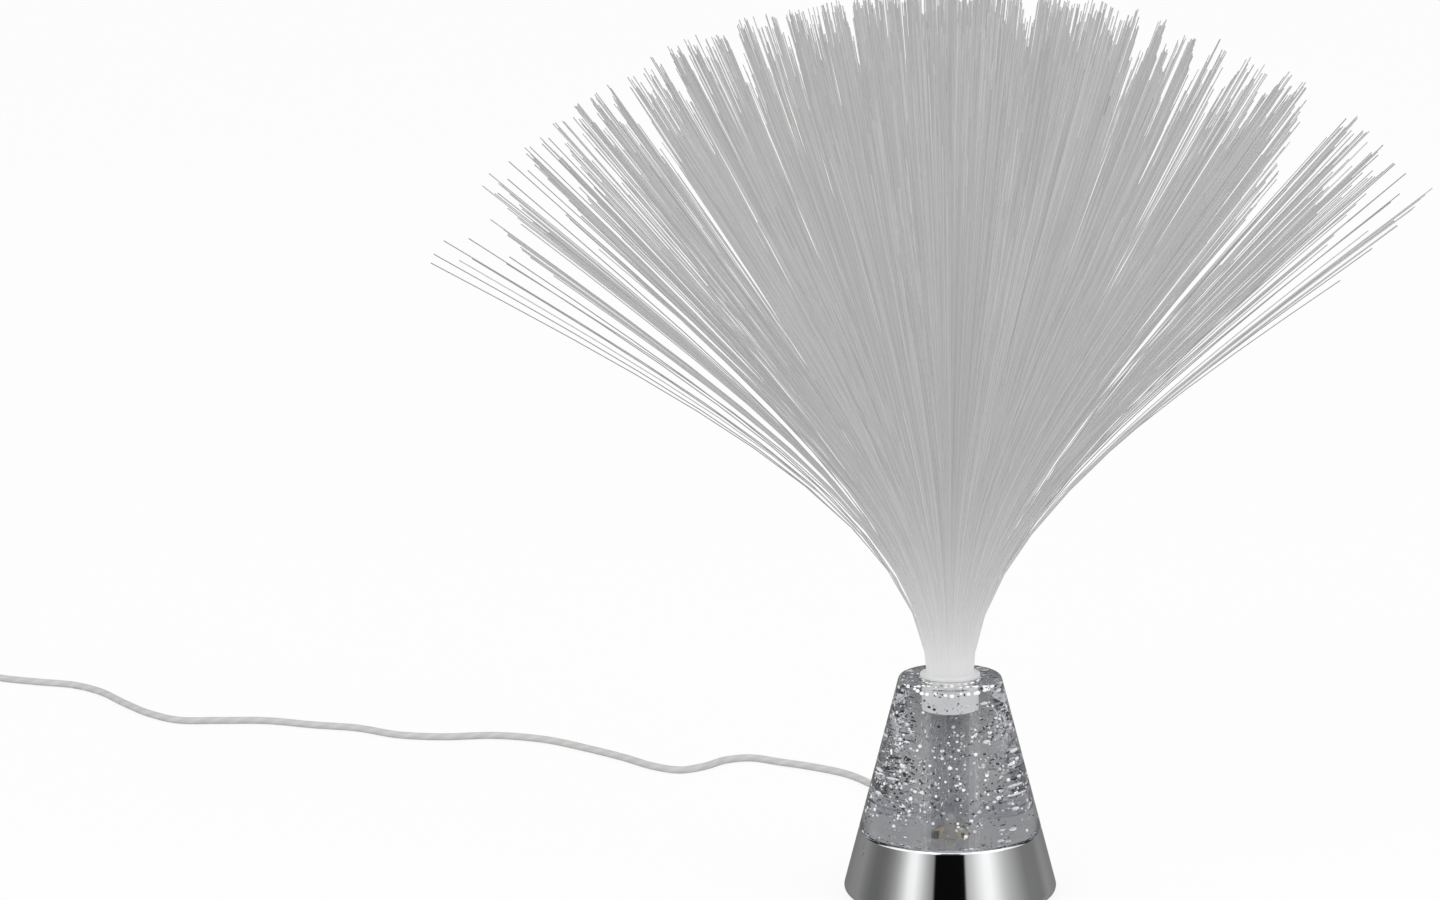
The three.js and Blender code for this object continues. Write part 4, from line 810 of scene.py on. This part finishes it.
def make_glitter():
    """Thin flakes and small beads, cast into the acrylic in loose clusters, with a ring of both under the flange. A
    flake's tone runs from dark to bright, painted reflection on top of what it really mirrors; the ring's dark flakes
    are painted shadow, and the beads' glow is painted glints."""
    random = np.random.default_rng(7)
    points, tones = [], []

    def put(radius, turn, height, normal, size, tone):
        points.extend(flake(polar(radius, turn, height), normal, size, turn))
        tones.append(tone)

    def outer(height):
        return side_radius(height) - 1.0 if height > 27 else side_radius(SEAM_HEIGHT) - 4.6

    def inner(height):
        return 8.4 if height < GLITTER_HIGH else 12.6

    def spot():
        """A place in the acrylic, equally likely anywhere, but seldom at the foot and the top."""
        widest = outer(GLITTER_LOW)
        while True:
            height = random.uniform(GLITTER_LOW, GLITTER_HIGH)
            radius = random.uniform(0, widest)
            if not inner(height) < radius < outer(height):
                continue
            share = 0.3 if height < 32 else 0.4 if height > 69 else 1.0
            if random.random() < share * radius / widest:
                return radius, random.uniform(0, 2 * math.pi), height

    clusters = [spot() for _ in range(CLUSTER_COUNT)]

    def clustered():
        if random.random() < 0.25:
            return spot()
        while True:
            radius, turn, height = clusters[random.integers(len(clusters))]
            height += random.normal(scale=CLUSTER_SPREAD)
            radius += random.normal(scale=CLUSTER_SPREAD)
            if inner(height) < radius < outer(height) and GLITTER_LOW < height < GLITTER_HIGH:
                return radius, turn + random.normal(scale=CLUSTER_SPREAD) / radius, height

    for _ in range(DULL_FLAKES):
        tone = random.choice([0.2, 0.4, 0.65], p=[0.3, 0.4, 0.3]) + random.uniform(0, 0.2)
        put(*clustered(), random.normal(size=3), random.uniform(0.18, 0.42), tone)
    # Painted reflections: these flakes are painted near black.
    for _ in range(DARK_FLAKES):
        size = 0.2 + 0.4 * random.random() ** 2
        put(*clustered(), random.normal(size=3), size, random.uniform(0, 0.03))
    for _ in range(BRIGHT_FLAKES):
        radius, turn, height = clustered()
        normal = np.array([math.cos(turn), math.sin(turn), 0.2]) + random.normal(scale=0.4, size=3)
        put(radius, turn, height, normal, random.uniform(0.35, 0.75), 1.0)
    # Painted shadow: a ring of dark flakes just under the flange.
    for _ in range(RING_FLAKES):
        place = random.uniform(11.0, 12.2), random.uniform(0, 2 * math.pi), random.normal(79.6, 0.7)
        put(*place, random.normal(size=3), random.uniform(0.25, 0.5), 0.0)
    faces = np.arange(len(points)).reshape(-1, FLAKE_SIDES).tolist()
    flakes = mesh_object("glitter", points, faces, MATERIALS["glitter"], smooth_angle=0)
    set_map(flakes, np.repeat([(tone, 0.5) for tone in tones], FLAKE_SIDES, axis=0))
    finish_piece(flakes, "base", "acrylic")

    grain = bmesh.new()
    bmesh.ops.create_icosphere(grain, subdivisions=2, radius=1.0)
    shape = np.array([v.co for v in grain.verts])
    corners = [[v.index for v in f.verts] for f in grain.faces]
    grain.free()
    beads = []
    for _ in range(LOOSE_BEADS):
        radius, turn, height = clustered()
        beads.append((min(radius, outer(height) - 0.5), turn, height, 0.24 + 0.5 * random.random() ** 2))
    # Painted glints: a ring of glowing sparks just under the flange.
    for k in range(RING_BEADS):
        turn = 2 * math.pi * (k + random.uniform(-0.4, 0.4)) / RING_BEADS
        beads.append((random.uniform(10.7, 11.4), turn, random.normal(79.2, 0.35), random.uniform(0.45, 0.75)))
    points, faces = merged(*[(shape * size + polar(*place), corners) for *place, size in beads])
    pearls = mesh_object("glitter_beads", points, faces, MATERIALS["bead"], smooth_angle=90)
    pearls.data.materials.append(MATERIALS["spark"])
    for face in pearls.data.polygons[LOOSE_BEADS * len(corners) :]:
        face.material_index = 1
    finish_piece(pearls, "base", "acrylic")


def make_ferrule():
    r = FLANGE_RADIUS
    profile = [
        (6.3, SLEEVE_BOTTOM),
        (SLEEVE_RADIUS - 0.2, SLEEVE_BOTTOM),
        (SLEEVE_RADIUS, SLEEVE_BOTTOM + 0.2),
        (SLEEVE_RADIUS, FLANGE_BOTTOM - 4.2),
        (10.4, FLANGE_BOTTOM),
        *arc((r - 0.5, FLANGE_BOTTOM + 0.5), 0.5, -90, 0, 5),
        *arc((r - 0.5, MOUTH_HEIGHT - 0.5), 0.5, 0, 90, 5),
        (9.1, MOUTH_HEIGHT),
        (8.9, MOUTH_HEIGHT - 0.2),
        (6.3, MOUTH_HEIGHT - 7),
    ]
    ferrule = lathe("ferrule", profile, MATERIALS["ferrule"], segments=128)
    # Below the flange the ferrule takes the paler tone of painted light.
    ferrule.data.materials.append(MATERIALS["sleeve"])
    for face in ferrule.data.polygons:
        if face.center.z < FLANGE_BOTTOM * MM:
            face.material_index = 1
    finish_piece(ferrule, "spray", "white_plastic", "fibre_ferrule")


make_chrome()
make_acrylic()
make_glitter()
make_ferrule()


# Fibres

FIBRE_COUNT = 4600
FIBRE_RADIUS = 0.2
FIBRE_ROOT_RADIUS = 0.14
FIBRE_REACH = 258.0
BEND_LENGTH = 52.0
FIBRE_STOPS = 12
STOP_POWER = 1.35  # sets a fibre's stops closer together near its root
PATH_SLICES = 240
SPREAD = 43.0  # of the outermost fibres' tips from upright, seen from the mouth
TUFTS = 240
GOLDEN_ANGLE = math.pi * (3 - math.sqrt(5))
VIEW_TILT = math.radians(11.5)
VIEW_UP = np.array([0, math.sin(VIEW_TILT), math.cos(VIEW_TILT)])
VIEW_BACK = np.array([0, math.cos(VIEW_TILT), -math.sin(VIEW_TILT)])
QUARTERS = ["rear_right", "rear_left", "front_left", "front_right"]

# Gaps between tufts, seen from the front: angle from upright, half of the width at the tips, and how far
# out along the fibres they open
GAPS = [
    (-49.2, 1.53, 0.5), (-47.1, 1.7, 0.5), (-45.4, 1.36, 0.55), (-43.5, 0.85, 0.64), (-42.0, 0.85, 0.68),
    (-40.3, 1.53, 0.7), (-38.8, 0.68, 0.76), (-37.5, 0.77, 0.78), (-36.0, 0.77, 0.9), (-34.0, 0.34, 0.93),
    (-32.0, 0.51, 0.93), (-30.3, 0.5, 0.88), (-28.8, 0.75, 0.8), (-24.5, 0.6, 0.86), (-18.5, 0.7, 0.86),
    (-14.0, 0.6, 0.84), (-8.5, 0.55, 0.8), (-2.0, 0.5, 0.9), (6.9, 0.85, 0.76), (17.0, 1.0, 0.64),
    (19.8, 1.2, 0.74), (22.4, 1.5, 0.7), (25.0, 1.4, 0.66), (27.0, 0.6, 0.8), (28.4, 0.9, 0.82),
    (31.0, 1.2, 0.78), (33.4, 2.1, 0.5), (35.1, 0.68, 0.78), (36.6, 0.59, 0.88), (39.0, 0.77, 0.72),
    (40.6, 1.1, 0.6), (42.0, 0.77, 0.68), (43.5, 0.77, 0.58), (60.0, 15.4, 0.5),
]

# Loose strands outside the dense spray: angle from upright, depth towards the rear and length
STRANDS = [
    (-51.0, 0.05, 252), (-50.2, -0.1, 250), (-48.8, 0.0, 252), (-48.3, -0.2, 236), (-47.2, -0.06, 244),
    (-46.6, 0.22, 232), (-45.9, -0.2, 226), (-42.6, 0.08, 250), (-41.2, -0.14, 247), (-40.1, 0.0, 254),
    (-39.3, 0.16, 250), (-38.6, -0.04, 246), (-37.9, 0.1, 255), (-37.0, -0.1, 249), (-36.2, 0.05, 252),
    (35.7, -0.05, 254), (36.4, 0.1, 256), (37.2, -0.12, 252), (38.1, 0.05, 258), (38.8, 0.18, 247),
    (39.5, -0.05, 255), (40.3, 0.12, 257), (40.9, -0.16, 249), (41.4, 0.02, 255), (41.9, 0.2, 240),
    (42.4, -0.08, 252), (42.9, 0.08, 256), (43.4, -0.02, 247), (43.9, 0.14, 248), (44.4, -0.1, 236),
    (45.1, 0.0, 226), (45.6, 0.15, 213),
]


def fibre_paths(start, lean, reach, slices):
    """The radius and height of each fibre along its length. It stands upright in the mouth and leans out."""
    along = np.linspace(0, 1, slices + 1)[None, :] * reach[:, None]
    middle = (along[:, 1:] + along[:, :-1]) / 2
    angle = lean[:, None] * (1 - np.exp(-middle / BEND_LENGTH))
    step = along[:, 1:] - along[:, :-1]
    none = np.zeros((len(start), 1))
    radius = start[:, None] + np.concatenate([none, np.cumsum(step * np.sin(angle), 1)], 1)
    height = np.concatenate([none, np.cumsum(step * np.cos(angle), 1)], 1)
    return radius, height


def lean_towards(spread, start, reach):
    """The end angle that takes a fibre's tip to the given angle from upright."""
    lean = spread * 1.2
    for _ in range(8):
        radius, height = fibre_paths(start, lean, reach, PATH_SLICES // 4)
        lean += spread - np.arctan2(radius[:, -1], height[:, -1])
    return lean


def fibre_curves(start, azimuth, swing, lean, reach):
    """The points of each fibre, which swings about the lamp's axis on its way out."""
    radius, height = fibre_paths(start, lean, reach, PATH_SLICES)
    picked = np.round(PATH_SLICES * np.linspace(0, 1, FIBRE_STOPS) ** STOP_POWER).astype(int)
    turn = azimuth[:, None] + swing[:, None] * (picked / PATH_SLICES)[None, :]
    x, y = radius[:, picked] * np.cos(turn), radius[:, picked] * np.sin(turn)
    return np.stack([x, y, MOUTH_HEIGHT - 1.5 + height[:, picked]], axis=2)


def fibre_piece(name, curves, tones):
    """One mesh of four-sided fibres. Its map holds a fibre's tone and the place along it."""
    count, stops, _ = curves.shape
    v = np.linspace(0, 1, stops) ** STOP_POWER
    thick = FIBRE_ROOT_RADIUS + (FIBRE_RADIUS - FIBRE_ROOT_RADIUS) * np.clip(v / 0.3, 0, 1)
    tangent = np.gradient(curves, axis=1)
    tangent /= np.linalg.norm(tangent, axis=2)[:, :, None]
    reference = np.stack([-curves[:, -1, 1], curves[:, -1, 0], np.zeros(count)], axis=1)
    reference /= np.maximum(np.linalg.norm(reference, axis=1), 1e-9)[:, None]
    across = reference[:, None, :] - tangent * np.sum(reference[:, None, :] * tangent, axis=2)[:, :, None]
    across /= np.linalg.norm(across, axis=2)[:, :, None]
    other = np.cross(tangent, across)
    sides = ((1, across), (1, other), (-1, across), (-1, other))
    rings = np.stack([curves + thick[None, :, None] * sign * way for sign, way in sides], axis=2)
    index = np.arange(count * stops * 4).reshape(count, stops, 4)
    walls, places = [], []
    low, high, u = np.broadcast_arrays(v[None, :-1], v[None, 1:], tones[:, None])
    for k in range(4):
        n = (k + 1) % 4
        quad = np.stack([index[:, :-1, k], index[:, :-1, n], index[:, 1:, n], index[:, 1:, k]], axis=2)
        walls.append(quad.reshape(-1, 4))
        corners = [np.stack([u, w], axis=2) for w in (low, low, high, high)]
        places.append(np.stack(corners, axis=2).reshape(-1, 4, 2))
    places.append(np.broadcast_to(np.stack([tones, np.ones(count)], axis=1)[:, None, :], (count, 4, 2)))
    quads = np.concatenate([*walls, index[:, -1, :]])
    piece = mesh_object(name, rings.reshape(-1, 3), quads.tolist(), MATERIALS["fibre"], smooth_angle=180)
    set_map(piece, np.concatenate(places))
    return piece


def even_disc(count):
    """Places spread evenly in a disc of radius 1: each one's distance from the middle, and its turn."""
    number = np.arange(count)
    return np.sqrt((number + 0.5) / count), number * GOLDEN_ANGLE


def flat(distance, turn):
    return np.stack([distance * np.cos(turn), distance * np.sin(turn)], 1)


def seen_ways(angle, size, depth):
    """Directions from their angle from upright and their length as seen from the front, and their depth."""
    side, rise = size * np.sin(np.radians(angle)), size * np.cos(np.radians(angle))
    return np.outer(side, (1, 0, 0)) + np.outer(rise, VIEW_UP) + np.outer(depth, VIEW_BACK)


def part_tufts(ways, reach, random):
    """Pushes the tips out of the gaps, as seen from the front."""
    side, rise, depth = ways[:, 0], ways @ VIEW_UP, ways @ VIEW_BACK
    angle, size = np.degrees(np.arctan2(side, rise)), np.hypot(side, rise)
    out = size * reach / FIBRE_REACH
    for middle, half, inner in GAPS:
        border = half * np.clip(1.6 * (out - inner) / (1 - inner), 0, 1)
        off = angle - middle
        pushed = middle + np.where(off < 0, -1, 1) * (border + random.uniform(0, 0.35, len(off)))
        angle = np.where(np.abs(off) < border, pushed, angle)
    return seen_ways(angle, size, depth)


def make_fibres():
    random = np.random.default_rng(11)
    share, azimuth = even_disc(FIBRE_COUNT)
    azimuth = azimuth % (2 * math.pi)
    start = share * (MOUTH_RADIUS - FIBRE_RADIUS)
    # Fibres cling together in tufts, which leave gaps between them towards the tips.
    tuft_share, tuft_turn = even_disc(TUFTS)
    tuft = flat(tuft_share, tuft_turn + 0.5)
    tuft += random.normal(scale=0.03, size=tuft.shape)
    tuft_pull = np.clip(random.normal(0.5, 0.2, size=TUFTS), 0.1, 0.85)
    place = flat(share, azimuth)
    near = np.argmin(np.linalg.norm(place[:, None] - tuft[None], axis=2), axis=1)
    pull = np.clip(tuft_pull[near] + random.normal(0, 0.1, size=FIBRE_COUNT), 0, 0.95)[:, None]
    target = place + (tuft[near] - place) * pull + random.normal(scale=0.008, size=place.shape)
    out, turn = np.linalg.norm(target, axis=1), np.arctan2(target[:, 1], target[:, 0])
    reach = FIBRE_REACH * random.uniform(0.985, 1.0, size=TUFTS)[near]
    reach *= 1 - 0.13 * random.random(FIBRE_COUNT) ** 2
    spread = np.radians(SPREAD) * out * (0.45 + 0.55 * out**4)
    ways = part_tufts(np.column_stack([flat(np.sin(spread), turn), np.cos(spread)]), reach, random)
    tones = random.beta(2.2, 2.2, size=FIBRE_COUNT)

    angle, depth, length = np.array(STRANDS, float).T
    size = np.sqrt(1 - depth**2)
    ways = np.r_[ways, seen_ways(angle, size, depth)]
    reach = np.r_[reach, length / size]
    start = np.r_[start, np.full(len(STRANDS), MOUTH_RADIUS)]
    tones = np.r_[tones, np.zeros(len(STRANDS))]

    spread = np.arctan2(np.hypot(ways[:, 0], ways[:, 1]), ways[:, 2])
    turn = np.arctan2(ways[:, 1], ways[:, 0])
    azimuth = np.r_[azimuth, turn[FIBRE_COUNT:] % (2 * math.pi)]
    swing = (turn - azimuth + math.pi) % (2 * math.pi) - math.pi
    swing *= np.clip(np.r_[share, np.ones(len(STRANDS))] * 5, 0, 1)
    curves = fibre_curves(start, azimuth, swing, lean_towards(spread, start, reach), reach)
    quarter = (azimuth // (math.pi / 2)).astype(int)
    for number, name in enumerate(QUARTERS):
        mine = quarter == number
        piece = fibre_piece(f"fibres_{name}", curves[mine], tones[mine])
        finish_piece(piece, "spray", "fibre", f"fibre_spray_{name}")


make_fibres()

# Floor, world and lights


def make_floor():
    """A floor that takes faint shadows and is otherwise as white as the background to the camera."""
    size, glow_share = 8000.0, 0.85
    material, shader = make_material("floor")
    material.node_tree.nodes.remove(shader)
    diffuse = add_node(material, "ShaderNodeBsdfDiffuse", {"Color": grey(0.93)})
    glow = add_node(material, "ShaderNodeEmission", {"Strength": 1.0})
    path = add_node(material, "ShaderNodeLightPath")
    seen = calculate(material, "MULTIPLY", path.outputs["Is Camera Ray"], glow_share)
    show(material, seen, diffuse.outputs[0], glow.outputs[0])
    corners = [(-size, -size, 0), (size, -size, 0), (size, size, 0), (-size, size, 0)]
    floor = mesh_object("floor", corners, [(0, 1, 2, 3)], material, smooth_angle=0)
    floor.visible_glossy = False
    floor.visible_transmission = False


# How bright the studio is round the lamp, by degrees from behind the camera, for level reflections
STUDIO_RING = [
    (-180, 0.2), (-158, 0.2), (-136, 0.24), (-122, 0.25), (-110, 0.18), (-100, 0.137), (-90, 0.134),
    (-82, 0.16), (-74, 0.226), (-66, 0.355), (-59, 0.58), (-51, 0.93), (-44, 0.99), (-37, 0.73), (-30, 0.46),
    (-22.5, 0.26), (-20, 0.003), (14.5, 0.003), (16.5, 0.45), (24, 0.62), (31, 0.82), (38, 0.99), (45, 1.02),
    (53, 0.81), (60, 0.6), (68, 0.45), (76, 0.355), (85, 0.26), (94, 0.19), (116, 0.18), (130, 0.26),
    (153, 0.215),
]

# The same for reflections from halfway up the sky
STUDIO_HIGH_RING = [
    (-180, 0.4), (-144, 0.4), (-141, 0.01), (-112, 0.01), (-108, 0.8), (-80, 1.1), (-20, 0.9), (-13, 0.14),
    (9, 0.14), (15, 0.9), (80, 1.1), (108, 0.8), (112, 0.01), (141, 0.01), (144, 0.4),
]


def make_world():
    """White to the eye, and a studio in reflections: a black flag behind the camera between two softboxes."""
    world = bpy.data.worlds.new("studio")
    SCENE.world = world
    world.use_nodes = True
    world.node_tree.nodes.clear()
    way = add_node(world, "ShaderNodeTexCoord").outputs["Generated"]
    x, y, z = add_node(world, "ShaderNodeSeparateXYZ", {0: way}).outputs
    turn = calculate(world, "ARCTAN2", x, calculate(world, "MULTIPLY", y, -1.0))
    place = map_range(world, turn, -math.pi, math.pi)
    low_ring = ramp(world, place, [((a + 180) / 360, v) for a, v in STUDIO_RING])
    high_ring = ramp(world, place, [((a + 180) / 360, v) for a, v in STUDIO_HIGH_RING])
    overhead = map_range(world, z, 0.72, 0.8, interpolation_type="SMOOTHSTEP")
    halfway = map_range(world, z, 0.33, 0.42, interpolation_type="SMOOTHSTEP")
    ring = blend(world, halfway, low_ring, blend(world, overhead, high_ring, grey(1.05)))
    # Rays that pass through the acrylic see a little of the white as well.
    path = add_node(world, "ShaderNodeLightPath").outputs
    clear = blend(world, calculate(world, "MULTIPLY", path["Is Transmission Ray"], 0.12), ring, grey(1.0))
    soft = blend(world, path["Is Diffuse Ray"], clear, grey(0.9))
    seen = blend(world, path["Is Camera Ray"], soft, grey(1.0))
    background = add_node(world, "ShaderNodeBackground", {"Color": seen})
    add_node(world, "ShaderNodeOutputWorld", {"Surface": background.outputs[0]})


def make_light(name, place, target, size, power):
    data = bpy.data.lights.new(name, "AREA")
    data.shape = "SQUARE"
    data.size = size
    data.energy = power
    light = bpy.data.objects.new(name, data)
    light.location = place
    light.rotation_euler = (Vector(target) - Vector(place)).to_track_quat("-Z", "Y").to_euler()
    light.visible_transmission = False
    SCENE.collection.objects.link(light)


make_floor()
make_world()
make_light("key", (-1.2, -1.6, 2.2), (0, 0, 0.15), 1.2, 9)
make_light("fill", (1.6, -1.2, 1.6), (0, 0, 0.15), 1.4, 5)
SCENE.view_settings.view_transform = "Standard"
